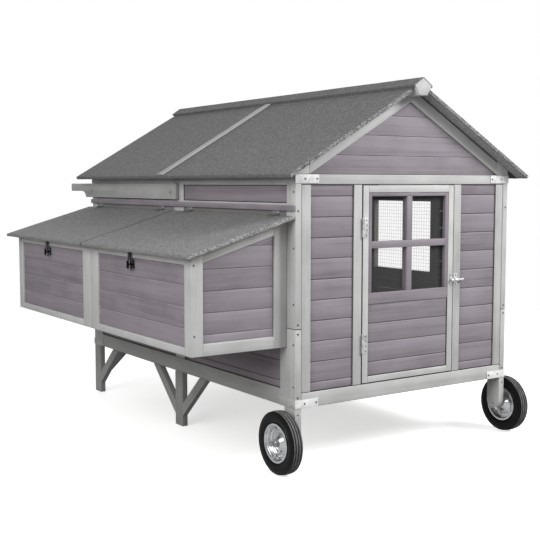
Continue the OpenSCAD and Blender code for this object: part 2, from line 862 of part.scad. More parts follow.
// Nest box
module nest_end_frame() {
  top = lid_seat;
  inner_x = -nest_inner_w;
  along_y = nest_start;
  across(along_y, nest_post)
    polygon([[nest_front_x, nest_z], [nest_post_x, nest_z], [nest_post_x, lid_under(nest_post_x) - top],
             [nest_front_x, lid_under(nest_front_x) - top]]);
  across(along_y, nest_t) {
    polygon([[inner_x, nest_z], [-stick_gap, nest_z],
             [-stick_gap, lid_under(-stick_gap) - top], [inner_x, lid_under(inner_x) - top]]);
    translate([nest_post_x + stick_gap, nest_z])
      square([inner_x - nest_post_x - 2 * stick_gap, nest_end_bottom_h]);
    polygon([for (p = [[nest_post_x + stick_gap, 1], [inner_x - stick_gap, 1],
                       [inner_x - stick_gap, 0], [nest_post_x + stick_gap, 0]])
               [p[0], p[1] == 1 ? nest_rake_under(p[0]) : lid_under(p[0]) - top]]);
  }
}

module at_both_nest_ends() {
  children();
  translate([0, 2 * nest_mid, 0]) mirror([0, 1, 0]) children();
}

nest_top_z = lid_under(nest_front_x) - lid_seat;
nest_low = nest_z + nest_bottom_h;
nest_high = nest_top_z - nest_top_h;
nest_bay = [nest_start + nest_post, nest_mid - stick_gap / 2 - nest_mid_w];

module nest_frame() {
  color(light_paint) placed() at_both_nest_ends() {
    nest_end_frame();
    block([nest_front_x, nest_bay[1], nest_z], [nest_front_x + nest_t, nest_bay[1] + nest_mid_w, nest_top_z]);
    for (level = [[nest_z, nest_low], [nest_high, nest_top_z]])
      block([nest_front_x, nest_bay[0] + stick_gap, level[0]],
            [nest_front_x + nest_t, nest_bay[1] - stick_gap, level[1]]);
  }
}

module nest_boards() {
  low = nest_z + nest_end_bottom_h;
  side = [nest_post_x, -nest_inner_w];
  inset = 2 * stick_gap;
  color(mauve_paint) placed() at_both_nest_ends() {
    along(nest_board_x, board_t)
      board_rows(nest_bay[0], nest_bay[1], nest_low, nest_high, nest_low + nest_joint_up, board_pitch);
    across(nest_start + board_recess, board_t) intersection() {
      board_rows(side[0], side[1], low, nest_rake_under(side[1]) + least_row,
                 low + nest_end_joint_up, board_pitch);
      polygon([[side[0], low], [side[1], low], [side[1], nest_rake_under(side[1]) - inset],
               [side[0], nest_rake_under(side[0]) - inset]]);
    }
  }
}

nest_floor_top = nest_z + nest_bottom_h - seat_gap;

module nest_floor() {
  foot = nest_floor_top - nest_floor_t;
  color(bare_wood) placed() at_both_nest_ends() difference() {
    block([nest_front_x + nest_t + stick_gap, nest_start + nest_t + stick_gap, foot],
          [-nest_inner_w - stick_gap, nest_mid - divider_t / 2 - stick_gap, nest_floor_top]);
    block([nest_front_x, nest_start, foot - 1],
          [nest_post_x + stick_gap, nest_start + nest_post + stick_gap, nest_floor_top + 1]);
  }
}

module nest_divider() {
  front_x = nest_front_x + nest_t + stick_gap;
  color(bare_wood) placed() across(nest_mid - divider_t / 2, divider_t)
    polygon([[front_x, nest_z], [-stick_gap, nest_z], [-stick_gap, lid_under(-stick_gap) - lid_seat],
             [front_x, lid_under(front_x) - lid_seat]]);
}

module hinge_strip() {
  color(mauve_paint) placed()
    block([-strip_t, 0, strip_z], [0, house_l, strip_z + strip_h]);
}

// Nest lids
module lid_board(half) {
  ends = lid_ends[half];
  color(bare_wood) placed() on_lid()
    block([-lid_reach + felt_t, ends[0] + felt_t, -lid_drop - lid_t],
          [-lid_back, ends[1] - felt_t, -lid_drop - felt_t]);
}

module lid_felt(half) {
  ends = lid_ends[half];
  color(felt_grey) placed() on_lid() difference() {
    block([-lid_reach, ends[0], -lid_drop - lid_t], [-lid_back, ends[1], -lid_drop]);
    block([-lid_reach + felt_t, ends[0] + felt_t, -lid_drop - lid_t - 1],
          [-lid_back + 1, ends[1] - felt_t, -lid_drop - felt_t]);
  }
}

// Starts of the hinges of one lid along the house
function lid_hinge_starts(half) =
  [lid_ends[half][0] + lid_hinge_in, lid_ends[half][1] - lid_hinge_in - lid_hinge_l];

module lid_hinge_plates() {
  plate_top = strip_z - turn_gap;
  plate_foot = lid_axis_z + lid_knuckle_r + turn_gap;
  color(zinc) placed()
    for (half = [0, 1], y = lid_hinge_starts(half)) {
      translate([lid_axis_x, y, lid_axis_z]) rotate([-90, 0, 0]) pin_knuckles(lid_hinge_l, lid_knuckle_r);
      block([-leaf_t, y, plate_foot], [0, y + lid_hinge_l, plate_top]);
      for (third = outer_thirds(lid_hinge_l))
        block([-leaf_t, y + third[0], lid_axis_z], [0, y + third[1], plate_top]);
    }
}

// Leaf on the lid with the turning knuckle, and the leaf that carries the latch strap
module lid_hardware(half) {
  clear = lid_knuckle_r + turn_gap;
  y_latch = latch_y[half];
  strap_in = (strap_x - lid_axis_x) / cos(lid_slope);
  under = -lid_drop - lid_t;
  color(zinc) placed() {
    on_lid()
      for (y = lid_hinge_starts(half)) {
        third = middle_third(lid_hinge_l);
        translate([0, y, 0]) rotate([-90, 0, 0]) turning_knuckle(lid_hinge_l, lid_knuckle_r);
        block([-lid_leaf_w, y, -lid_drop], [-clear, y + lid_hinge_l, 0]);
        block([-clear - weld, y + third[0], -lid_drop], [-pin_r - 2 * weld, y + third[1], 0]);
      }
    on_lid()
      block([-lid_reach + felt_t, y_latch - strap_w / 2, under - leaf_t],
            [strap_in + strap_knuckle_r, y_latch + strap_w / 2, under]);
    translate([strap_x, y_latch - strap_w / 2, strap_z]) {
      rotate([-90, 0, 0]) pin_knuckles(strap_w, strap_knuckle_r);
      for (third = outer_thirds(strap_w))
        block([-leaf_t, third[0], 0], [leaf_t, third[1], strap_knuckle_r + turn_gap + 2 * weld]);
    }
  }
}

// Forked strap that hangs from the lid over the knob's spindle
module latch_strap(half) {
  y = latch_y[half];
  third = middle_third(strap_w);
  shoulder = strap_foot_z + fork_l + strap_shoulder;
  lobe_z = strap_foot_z + lobe_h;
  lobe_in = lobe_h / 2;
  neck = strap_z - strap_knuckle_r - turn_gap;
  color(black_steel) placed() {
    translate([strap_x, y - strap_w / 2, strap_z]) rotate([-90, 0, 0])
      turning_knuckle(strap_w, strap_knuckle_r);
    block([strap_x - strap_t / 2, y - strap_w / 2 + third[0], neck - weld],
          [strap_x + strap_t / 2, y - strap_w / 2 + third[1], strap_z - pin_r - 2 * weld]);
    along(strap_x - strap_t / 2, strap_t) difference() {
      polygon([[y - strap_w / 2, neck], [y + strap_w / 2, neck], [y + strap_w / 2, shoulder],
               [y + strap_foot_w / 2, lobe_z], [y + strap_foot_w / 2 - lobe_in, strap_foot_z],
               [y - strap_foot_w / 2 + lobe_in, strap_foot_z], [y - strap_foot_w / 2, lobe_z],
               [y - strap_w / 2, shoulder]]);
      translate([y - fork_w / 2, strap_foot_z - 1]) square([fork_w, fork_l + 1 - fork_w / 2]);
      translate([y, strap_foot_z + fork_l - fork_w / 2]) circle(r = fork_w / 2);
    }
  }
}

module latch_plates() {
  color(black_steel) placed()
    for (y = latch_y)
      difference() {
        block([nest_board_x - latch_plate_t, y - latch_plate / 2, knob_z - latch_plate / 2],
              [nest_board_x, y + latch_plate / 2, knob_z + latch_plate / 2]);
        translate([nest_board_x - latch_plate_t - 1, y, knob_z]) rotate([0, 90, 0])
          cylinder(r = spindle_r + pin_play, h = latch_plate_t + 2);
      }
}

// Turn knob on its spindle, with the grip upright so that the strap can lift away
module latch_knob(half) {
  grip_x = strap_x - strap_t / 2 - knob_gap;
  inner_x = nest_board_x - seat_gap;
  color(black_steel) placed() translate([0, latch_y[half], knob_z]) {
    translate([grip_x - knob_t / 2, 0, 0]) rotate([0, 90, 0])
      cylinder(r = spindle_r, h = inner_x - grip_x + knob_t / 2);
    along(grip_x - knob_t, knob_t) {
      square([knob_w, knob_l - knob_w], center = true);
      for (end = [-1, 1])
        translate([0, end * (knob_l - knob_w) / 2]) circle(d = knob_w);
    }
  }
}

// Door
module door_frame() {
  back = door_t - door_proud;
  color(light_paint) placed() {
    for (x = [door_x, door_in_end_x])
      block([x, -door_proud, door_z], [x + door_stile_w, back, door_top_z]);
    for (level = [[door_z, door_z + door_bottom_h], [door_top_z - door_top_h, door_top_z]])
      block([door_in_x + stick_gap, -door_proud, level[0]], [door_in_end_x - stick_gap, back, level[1]]);
  }
}

module door_boards() {
  top = door_window_z - window_sill_h;
  color(mauve_paint) placed() across(door_board_recess - door_proud, board_t)
    board_rows(door_in_x, door_in_end_x, door_z + door_bottom_h, top, top, door_board_pitch);
}

module window_surround() {
  head = door_top_z - door_top_h - stick_gap;
  color(mauve_paint) placed() {
    block([door_in_x + stick_gap, surround_y, door_window_z - window_sill_h],
          [door_in_end_x - stick_gap, surround_y + surround_t, door_window_z]);
    for (x = [door_in_x + stick_gap, door_in_end_x - surround_w])
      block([x, surround_y, door_window_z + stick_gap],
            [x + surround_w - stick_gap, surround_y + surround_t, head]);
    block([door_in_x + surround_w + stick_gap, surround_y, door_window_top],
          [door_in_end_x - surround_w - stick_gap, surround_y + surround_t, head]);
  }
}

module window_muntins() {
  mid_z = (door_window_z + door_window_top) / 2;
  pane_back = surround_y + surround_t + pane_t + stick_gap;
  bar_foot = mid_z - muntin_w / 2;
  bar_head = mid_z + muntin_w / 2;
  color(mauve_paint) placed() {
    block([door_in_x + surround_w + stick_gap, surround_y, bar_foot],
          [door_in_end_x - surround_w - stick_gap, surround_y + surround_t, bar_head]);
    for (level = [[door_window_z, bar_foot], [bar_head, door_window_top]])
      block([mid_x - muntin_w / 2, surround_y, level[0] + stick_gap],
            [mid_x + muntin_w / 2, surround_y + surround_t, level[1] - stick_gap]);
    block([mid_x - muntin_w / 2, pane_back, door_window_z - pane_lap],
          [mid_x + muntin_w / 2, pane_back + backing_t, door_window_top + pane_lap]);
  }
}

module window_pane() {
  y = surround_y + surround_t;
  color("lightblue", 0.35) placed()
    block([door_in_x + surround_w - pane_lap, y, door_window_z - pane_lap],
          [door_in_end_x - surround_w + pane_lap, y + pane_t, door_window_top + pane_lap]);
}

hinge_feet = [door_z + door_hinge_low_up, door_z + door_hinge_high_up];

module door_hinge_plates() {
  plate_y = turn_gap;
  color(zinc) placed()
    for (z = hinge_feet) {
      translate([door_axis[0], door_axis[1], z]) pin_knuckles(door_hinge_l, door_knuckle_r);
      block([jamb_left_x, plate_y, z], [jamb_left_x + leaf_t, wall_t - plate_y, z + door_hinge_l]);
      for (third = outer_thirds(door_hinge_l))
        block([jamb_left_x, door_axis[1], z + third[0]],
              [jamb_left_x + leaf_t, plate_y + weld, z + third[1]]);
    }
}

module door_hinge_leaves() {
  leaf_x = door_axis[0] + door_knuckle_r + turn_gap;
  third = middle_third(door_hinge_l);
  color(zinc) placed()
    for (z = hinge_feet) {
      translate([door_axis[0], door_axis[1], z]) turning_knuckle(door_hinge_l, door_knuckle_r);
      block([leaf_x, -door_proud - leaf_t, z], [leaf_x + door_leaf_w, -door_proud, z + door_hinge_l]);
      block([door_axis[0], -door_proud - leaf_t, z + third[0]], [leaf_x + weld, -door_proud, z + third[1]]);
    }
}

// Bolt on the jamb and its keeper on the door
module bolt_tube(x, l) {
  translate([x, bolt_y, bolt_z]) rotate([0, 90, 0]) difference() {
    cylinder(r = guide_r, h = l);
    translate([0, 0, -1]) cylinder(r = bolt_r + pin_play, h = l + 2);
  }
}

module bolt_guide() {
  web_y = bolt_y + guide_r - 2 * weld;
  color(zinc) placed() {
    bolt_tube(guide_x, guide_l);
    block([guide_x, web_y, bolt_z - bolt_r], [guide_x + guide_l, 0, bolt_z + bolt_r]);
    block([guide_x, -leaf_t, bolt_z - bolt_plate_h / 2], [guide_x + guide_l, 0, bolt_z + bolt_plate_h / 2]);
  }
}

module bolt_keeper() {
  x = door_end_x - keeper_in - keeper_l;
  color(zinc) placed() {
    bolt_tube(x, keeper_l);
    block([x, -door_proud - leaf_t, bolt_z - bolt_plate_h / 2],
          [x + keeper_l, -door_proud, bolt_z + bolt_plate_h / 2]);
  }
}

module door_bolt() {
  knob_x = guide_x + guide_l + turn_gap + bolt_throw;
  rod_l = knob_x + bolt_knob_l - bolt_tip_rest;
  color(zinc) placed() {
    translate([bolt_tip_rest, bolt_y, bolt_z]) rotate([0, 90, 0]) cylinder(r = bolt_r, h = rod_l);
    translate([knob_x, bolt_y, bolt_z]) rotate([0, 90, 0]) cylinder(r = bolt_knob_r, h = bolt_knob_l);
  }
}

// Handles
module handle_outline() {
  z = handle_z;
  drop = handle_h - grip_h;
  full_end = house_l + handle_full;
  curve_steps = 12;
  polygon(concat(
    [[handle_start, z], [full_end, z]],
    [for (i = [1 : curve_steps])
       let (a = 90 * i / curve_steps)
       [full_end + handle_curve * (1 - cos(a)), z + drop * sin(a)]],
    [[handle_end, z + drop], [handle_end, z + handle_h], [handle_start, z + handle_h]]));
}

module handles() {
  color(light_paint) placed() {
    along(-handle_t, handle_t) handle_outline();
    at_right() along(-handle_t, handle_t) handle_outline();
  }
}

module handle_bolts() {
  z = handle_z + handle_h / 2;
  color(zinc) placed()
    for (side = [0, 1], y = [handle_start + handle_bolt_in, house_l - handle_bolt_rear])
      translate([side * house_w, y, z]) rotate([0, side == 0 ? -90 : 90, 0]) translate([0, 0, handle_t])
        cylinder(r = handle_bolt_r, h = handle_bolt_h);
}

// Legs
module wheel_legs() {
  color(light_paint) placed()
    for (x = [0, house_w - leg_t])
      difference() {
        along(x, leg_t) {
          translate([wheel_y - leg_foot, foot_z]) square([2 * leg_foot, ground_gap - foot_z]);
          translate([wheel_y, foot_z]) circle(r = leg_foot);
        }
        translate([x - 1, wheel_y, wheel_r]) rotate([0, 90, 0])
          cylinder(r = axle_r + pin_play, h = leg_t + 2);
      }
}

leg_spans = [[leg_mid - leg_w / 2, leg_mid + leg_w / 2], [house_l - leg_w, house_l]];

module support_legs() {
  color(light_paint) placed()
    for (x = [0, house_w - leg_t], span = leg_spans)
      block([x, span[0], 0], [x + leg_t, span[1], ground_gap]);
}

// One brace against an upright at 0, leaning out to the right, in flat outline
module brace_outline() {
  top = ground_gap;
  near = (brace_drop - brace_cut) * brace_reach / brace_drop;
  polygon([[0, top - brace_drop], [brace_reach, top], [near, top], [0, top - brace_drop + brace_cut]]);
}

module leg_braces() {
  color(light_paint) placed()
    for (side = [0, 1])
      translate([side * house_w, 0, 0]) mirror([side, 0, 0]) {
        for (y = [leg_spans[0][0], leg_spans[1][0]])
          along(0, leg_t) translate([y - stick_gap, 0]) mirror([1, 0]) brace_outline();
        along(0, leg_t) translate([leg_spans[0][1] + stick_gap, 0]) brace_outline();
        across(house_l - wall_t, wall_t) translate([leg_t + stick_gap, 0]) brace_outline();
      }
}

// Corner plates
module corner_plate(z) {
  block([-plate_t, -plate_t, z], [plate_l, 0, z + plate_h]);
  block([-plate_t, -plate_t, z], [0, plate_l, z + plate_h]);
}

module at_sides() {
  children();
  at_right() children();
}

module at_corners() {
  at_both_ends() at_sides() children();
}

plate_feet = [ground_gap + plate_edge, wall_top - plate_edge - plate_h];

module corner_plates() {
  color(light_paint) placed() at_corners()
    for (z = plate_feet)
      corner_plate(z);
}

// Screw heads on a face that looks to the front, from y
module front_screw(x, y, z) {
  translate([x, y, z]) rotate([90, 0, 0]) cylinder(r = screw_r, h = screw_h, $fn = 16);
}

// Screw heads on a face that looks to the left, from x
module side_screw(x, y, z) {
  translate([x, y, z]) rotate([0, -90, 0]) cylinder(r = screw_r, h = screw_h, $fn = 16);
}

// Heights of the screws above the underside of the walls
front_screw_ups = [44, post_joint_up - post_screw_in, post_joint_up + post_screw_in, 778];
side_screw_ups = [86, 254, 413, 633, 852];
plate_screws = [plate_l - 67, plate_l - 10];

module frame_screws() {
  nest_screw_ups = [nest_post * 1.5, nest_high - nest_z];
  color(zinc) placed() {
    at_corners() {
      for (z = plate_feet, x = plate_screws)
        front_screw(x, -plate_t, z + plate_h / 2);
      for (up = front_screw_ups)
        front_screw(screw_edge, 0, ground_gap + up);
    }
    for (up = side_screw_ups) {
      at_sides() side_screw(0, screw_edge, ground_gap + up);
      if (ground_gap + up + screw_r < handle_z)
        at_rear() at_sides() side_screw(0, screw_edge, ground_gap + up);
    }
    for (x = [screw_edge, house_w - screw_edge])
      front_screw(x, wheel_y - leg_foot, ground_gap - leg_screw_down);
    at_both_nest_ends()
      for (up = nest_screw_ups)
        front_screw(nest_front_x + screw_edge, nest_start, nest_z + up);
  }
}

// Wheels, drawn with the axle along z, outwards from the wall
module at_wheel(side) {
  translate([side < 0 ? 0 : house_w, wheel_y, wheel_r]) rotate([0, 90 * side, 0]) children();
}

bead_r = rim_r - rim_t + stick_gap;
bead_half = tyre_w / 2 - rim_t - stick_gap;

module tyre() {
  half = tyre_w / 2;
  side_h = wheel_r - rim_r;
  groove_w = groove_d;
  profile = [[0.04, bead_half], [0.17, half * 0.92], [0.42, half], [0.72, half], [0.88, half * 0.94],
             [0.96, half * 0.82], [1, half * 0.62]];
  flank = [for (p = profile) [rim_r + p[0] * side_h, p[1]]];
  color("#202022") translate([0, 0, wheel_out]) rotate_extrude($fn = 96) difference() {
    polygon(concat([[bead_r, bead_half]], flank,
                   [for (i = [len(flank) - 1 : -1 : 0]) [flank[i][0], -flank[i][1]]],
                   [[bead_r, -bead_half]]));
    for (z = [-half * 0.4, 0, half * 0.4])
      translate([wheel_r - groove_d, z - groove_w / 2]) square([groove_d + 1, groove_w]);
  }
}

module rim() {
  lip = bead_half + stick_gap;
  floor_r = bead_r - stick_gap;
  bolt_ring = (hub_r + floor_r) / 2;
  web_z = wheel_out - rim_t;
  color(zinc) difference() {
    union() {
      translate([0, 0, wheel_out]) rotate_extrude($fn = 96)
        polygon([[floor_r - rim_t, -lip], [floor_r, -lip], [floor_r, lip], [rim_r, lip], [rim_r, lip + rim_t],
                 [floor_r - rim_t, lip + rim_t]]);
      translate([0, 0, wheel_out - lip - rim_t]) rotate_extrude($fn = 96)
        polygon([[floor_r - rim_t, 0], [rim_r, 0], [rim_r, rim_t], [floor_r - rim_t, rim_t]]);
      translate([0, 0, web_z]) cylinder(r = floor_r - rim_t / 2, h = rim_t);
      translate([0, 0, wheel_out - hub_l / 2]) cylinder(r = hub_r, h = hub_l);
      for (i = [0 : rim_bolts - 1])
        rotate([0, 0, 360 * i / rim_bolts + 30]) translate([bolt_ring, 0, web_z - rim_t])
          cylinder(r = rim_bolt_r, h = 3 * rim_t, $fn = 6);
    }
    translate([0, 0, wheel_out - hub_l]) cylinder(r = axle_r + pin_play, h = 2 * hub_l);
  }
}

module left_tyre() { placed() at_wheel(-1) tyre(); }
module left_rim() { placed() at_wheel(-1) rim(); }
module right_tyre() { placed() at_wheel(1) tyre(); }
module right_rim() { placed() at_wheel(1) rim(); }

module wheel_axles() {
  color(zinc) placed()
    for (side = [-1, 1])
      at_wheel(side) {
        translate([0, 0, -leg_t - axle_head]) cylinder(r = axle_r * 1.7, h = axle_head, $fn = 6);
        translate([0, 0, -leg_t]) cylinder(r = axle_r, h = leg_t + axle_out);
      }
}

module axle_ring(z, r, h, sides) {
  translate([0, 0, z]) difference() {
    cylinder(r = r, h = h, $fn = sides);
    translate([0, 0, -1]) cylinder(r = axle_r + pin_play, h = h + 2);
  }
}

module axle_nuts() {
  hub_in = wheel_out - hub_l / 2;
  hub_end = wheel_out + hub_l / 2 + turn_gap;
  color(zinc) placed()
    for (side = [-1, 1])
      at_wheel(side) {
        axle_ring(0, axle_r * 2, hub_in - turn_gap, 48);
        axle_ring(hub_end, axle_r * 2, washer_t, 48);
        axle_ring(hub_end + washer_t + seat_gap, axle_r * 1.7, nut_h - seat_gap, 6);
      }
}

module front_lid_board() { lid_board(0); }
module front_lid_felt() { lid_felt(0); }
module front_lid_hardware() { lid_hardware(0); }
module rear_lid_board() { lid_board(1); }
module rear_lid_felt() { lid_felt(1); }
module rear_lid_hardware() { lid_hardware(1); }
module front_strap() { latch_strap(0); }
module rear_strap() { latch_strap(1); }
module front_knob() { latch_knob(0); }
module rear_knob() { latch_knob(1); }

front_wall_frame();
front_wall_boards();
rear_wall_frame();
rear_wall_boards();
left_wall_frame();
left_wall_boards();
right_wall_frame();
right_wall_boards();
window_mesh();
gable_frames();
gable_boards();
eave_plates();
ridge_beam();
ridge_felt();
roof_decks();
roof_felt();
roof_battens();
floor_panels();
floor_joists();
roosts();
nest_frame();
nest_boards();
nest_floor();
nest_divider();
hinge_strip();
lid_hinge_plates();
handles();
handle_bolts();
wheel_legs();
support_legs();
leg_braces();
corner_plates();
frame_screws();
wheel_axles();
axle_nuts();
door_hinge_plates();
bolt_guide();
latch_plates();
door_frame();
door_boards();
window_surround();
window_muntins();
window_pane();
door_hinge_leaves();
bolt_keeper();
door_bolt();
front_lid_board();
front_lid_felt();
front_lid_hardware();
rear_lid_board();
rear_lid_felt();
rear_lid_hardware();
front_strap();
rear_strap();
front_knob();
rear_knob();
left_tyre();
left_rim();
right_tyre();
right_rim();
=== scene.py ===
import json
import math
import random

import bmesh
import bpy
from mathutils import Matrix, Vector, noise

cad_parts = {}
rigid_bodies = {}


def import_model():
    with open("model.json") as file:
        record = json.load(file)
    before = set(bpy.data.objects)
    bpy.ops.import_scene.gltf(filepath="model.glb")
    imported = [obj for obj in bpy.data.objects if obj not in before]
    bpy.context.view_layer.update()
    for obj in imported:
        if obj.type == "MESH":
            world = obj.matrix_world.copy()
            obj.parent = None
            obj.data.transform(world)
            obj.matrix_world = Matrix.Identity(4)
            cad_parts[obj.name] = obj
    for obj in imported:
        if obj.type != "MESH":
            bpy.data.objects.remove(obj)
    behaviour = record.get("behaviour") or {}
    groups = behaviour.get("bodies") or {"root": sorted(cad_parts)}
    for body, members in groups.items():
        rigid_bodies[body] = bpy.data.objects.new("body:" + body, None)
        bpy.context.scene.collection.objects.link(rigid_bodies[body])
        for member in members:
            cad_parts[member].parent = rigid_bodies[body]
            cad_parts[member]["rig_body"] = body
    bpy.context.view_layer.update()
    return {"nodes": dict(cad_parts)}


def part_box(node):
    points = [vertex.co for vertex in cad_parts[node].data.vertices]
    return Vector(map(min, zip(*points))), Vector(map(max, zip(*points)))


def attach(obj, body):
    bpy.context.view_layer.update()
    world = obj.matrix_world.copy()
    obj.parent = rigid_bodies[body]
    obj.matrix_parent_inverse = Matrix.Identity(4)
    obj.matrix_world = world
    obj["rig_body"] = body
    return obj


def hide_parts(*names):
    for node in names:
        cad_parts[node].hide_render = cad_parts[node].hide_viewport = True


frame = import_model()


# Wall frames. Planed softwood sticks, butted and screwed into panels, two panels to a side.
# Their arrises are eased by hand, and two thin coats of light grey paint let the grain
# show as faint streaks along each stick.
def blank_finish(name, roughness, metallic=0.0):
    """A new material with its node tree and its main shader."""
    finish = bpy.data.materials.new(name)
    finish.use_nodes = True
    shader = finish.node_tree.nodes["Principled BSDF"]
    shader.inputs["Roughness"].default_value = roughness
    shader.inputs["Metallic"].default_value = metallic
    return finish, finish.node_tree, shader


def wire(tree, kind, inputs, **settings):
    """A shader node, with its settings, and with each input set to a value or fed by a socket."""
    node = tree.nodes.new(kind)
    for key, value in settings.items():
        setattr(node, key, value)
    for key, value in inputs.items():
        if isinstance(value, bpy.types.NodeSocket):
            tree.links.new(value, node.inputs[key])
        else:
            node.inputs[key].default_value = value
    return node


def carried(tree, layer, output="Fac"):
    """A value that the mesh carries in a layer."""
    return wire(tree, "ShaderNodeAttribute", {}, attribute_name=layer).outputs[output]


def stretched(tree, vector, scale):
    """A vector scaled along each axis."""
    return wire(tree, "ShaderNodeMapping", {"Vector": vector, "Scale": scale}).outputs[0]


def reckon(tree, operation, *terms):
    """One step of arithmetic on values or sockets."""
    return wire(tree, "ShaderNodeMath", dict(enumerate(terms)), operation=operation).outputs[0]


def spread(tree, value, low, high, start=0.0, end=1.0):
    """A value between start and end, spread from low to high."""
    inputs = {"Value": value, "From Min": start, "From Max": end, "To Min": low, "To Max": high}
    return wire(tree, "ShaderNodeMapRange", inputs).outputs[0]


def ramp(tree, factor, *stops):
    """A colour ramp from (place, colour) stops."""
    node = wire(tree, "ShaderNodeValToRGB", {"Fac": factor})
    elements = node.color_ramp.elements
    while len(elements) < len(stops):
        elements.new(0.5)
    for element, (place, colour) in zip(elements, stops):
        element.position = place
        element.color = (*colour, 1.0)
    return node.outputs["Color"]


def sums(tree, *terms):
    """The sum of (socket, weight) terms."""
    total = None
    for socket, weight in terms:
        part = reckon(tree, "MULTIPLY", socket, weight)
        total = part if total is None else reckon(tree, "ADD", total, part)
    return total


def stain(tree, factor, under, over):
    """One colour over another by a factor."""
    inputs = {0: factor, 6: under, 7: over}
    return wire(tree, "ShaderNodeMix", inputs, data_type="RGBA").outputs[2]


def mottle(tree, vector, scale, detail=4.0, roughness=0.55):
    """Noise at a scale in cycles per metre, or per stretched metre."""
    inputs = {"Vector": vector, "Scale": scale, "Detail": detail, "Roughness": roughness}
    return wire(tree, "ShaderNodeTexNoise", inputs).outputs["Fac"]


def rubbed(tree, shader, height, strength, depth):
    """Relief from a height, in metres of depth."""
    inputs = {"Strength": strength, "Distance": depth, "Height": height}
    bump = wire(tree, "ShaderNodeBump", inputs)
    tree.links.new(bump.outputs["Normal"], shader.inputs["Normal"])


def shade(colour, share):
    """A colour made lighter or darker."""
    return tuple(channel * share for channel in colour)


def painted_wood(name, paint, worn, streak, relief):
    """Thin paint on softwood, streaked along the grain, rubbed lighter along the arrises, and missing
    from the faces that a brush does not reach. Those faces, and the undersides of arrises, take a very
    dark wood colour that is partly the wood and partly painted shade, inside the house, in gaps and
    under things."""
    finish, tree, shader = blank_finish(name, 0.6)
    grain = carried(tree, "grain", "Vector")
    tone, arris, bare_and_shade = (carried(tree, layer) for layer in ("tone", "arris", "bare_and_shade"))
    fibres = mottle(tree, stretched(tree, grain, (3.0, 150.0, 150.0)), 1.0, 5.0, 0.6)
    bands = mottle(tree, stretched(tree, grain, (1.1, 26.0, 26.0)), 1.0, 4.0, 0.62)
    clouds = mottle(tree, grain, 7.0, 3.0, 0.5)
    value = sums(tree, (fibres, 0.4 * streak), (bands, 0.6 * streak), (clouds, 0.3), (tone, 0.06))
    middle = 0.5 * streak + 0.15
    reach = 0.17
    coat = ramp(tree, value, (middle - reach, shade(paint, 0.7)), (middle, paint),
                (middle + reach, shade(paint, 1.2)))
    coat = stain(tree, reckon(tree, "MULTIPLY", clouds, arris), coat, (*worn, 1.0))
    # A very dark wood colour for the marked faces: painted shade over wood left unpainted.
    shaded_raw = ramp(tree, fibres, (0.3, (0.085, 0.08, 0.077)), (0.7, (0.15, 0.142, 0.136)))
    tree.links.new(stain(tree, bare_and_shade, coat, shaded_raw), shader.inputs["Base Color"])
    tree.links.new(spread(tree, bands, 0.5, 0.72), shader.inputs["Roughness"])
    shader.inputs["Specular IOR Level"].default_value = 0.3
    rubbed(tree, shader, sums(tree, (fibres, 0.5), (bands, 0.5)), 0.5, relief)
    return finish


luck = random.Random(11)


def make_piece(name, mesh, finish, node, smooth=30.0, replace=True):
    """A finished mesh as a piece on the body of a node, in that node's place."""
    data = bpy.data.meshes.new(name)
    mesh.to_mesh(data)
    mesh.free()
    data.materials.append(finish)
    data.shade_smooth()
    data.set_sharp_from_angle(angle=math.radians(smooth))
    piece = bpy.data.objects.new(name, data)
    bpy.context.scene.collection.objects.link(piece)
    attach(piece, frame["nodes"][node]["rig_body"])
    if replace:
        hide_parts(node)
    return piece


def solids_of(node, merge=1e-5):
    """A merged copy of a node's mesh, with flat faces whole again."""
    mesh = bmesh.new()
    mesh.from_mesh(frame["nodes"][node].data)
    bmesh.ops.remove_doubles(mesh, verts=mesh.verts, dist=merge)
    bmesh.ops.dissolve_limit(mesh, angle_limit=0.01, verts=mesh.verts, edges=mesh.edges)
    return mesh


def separate_bits(mesh):
    """The vertices of each loose bit of a mesh."""
    seen = set()
    bits = []
    for start in mesh.verts:
        if start in seen:
            continue
        seen.add(start)
        bit = [start]
        for vert in bit:
            for edge in vert.link_edges:
                other = edge.other_vert(vert)
                if other not in seen:
                    seen.add(other)
                    bit.append(other)
        bits.append(bit)
    return bits


def ease_edges(mesh, width, least_angle=25.0, segments=2, clamp=True):
    """Rounds the sharp edges of a mesh and marks the new faces as worn."""
    worn = mesh.faces.layers.float.new("arris")
    sharp = [edge for edge in mesh.edges if edge.calc_face_angle(0.0) > math.radians(least_angle)]
    eased = bmesh.ops.bevel(mesh, geom=sharp, offset=width, offset_type="OFFSET", affect="EDGES",
                            segments=segments, profile=0.5, material=-1, clamp_overlap=clamp)
    for face in eased["faces"]:
        face[worn] = 1.0


def lay_grain(mesh):
    """Gives each stick its own tone, and its own grain along its longest edge."""
    grain = mesh.verts.layers.float_vector.new("grain")
    tone = mesh.verts.layers.float.new("tone")
    for stick in separate_bits(mesh):
        edges = (edge for vert in stick for edge in vert.link_edges)
        longest = max(edges, key=lambda edge: edge.calc_length())
        along = (longest.verts[1].co - longest.verts[0].co).normalized()
        across = along.orthogonal().normalized()
        turn = Matrix((along, across, along.cross(across)))
        shift = Vector((luck.uniform(0, 40), luck.uniform(0, 40), luck.uniform(0, 40)))
        depth = luck.uniform(-1, 1)
        for vert in stick:
            vert[grain] = turn @ vert.co + shift
            vert[tone] = depth


def open_joints(mesh, gap):
    """Draws the faces of every stick back a little, so that the joints between sticks show."""
    mesh.normal_update()
    moves = [vert.normal * vert.calc_shell_factor() * gap for vert in mesh.verts]
    for vert, move in zip(mesh.verts, moves):
        vert.co -= move


box_skin = 0.002
# Share of the dark colour on the undersides of arrises: painted shade.
underside_shade = 0.7


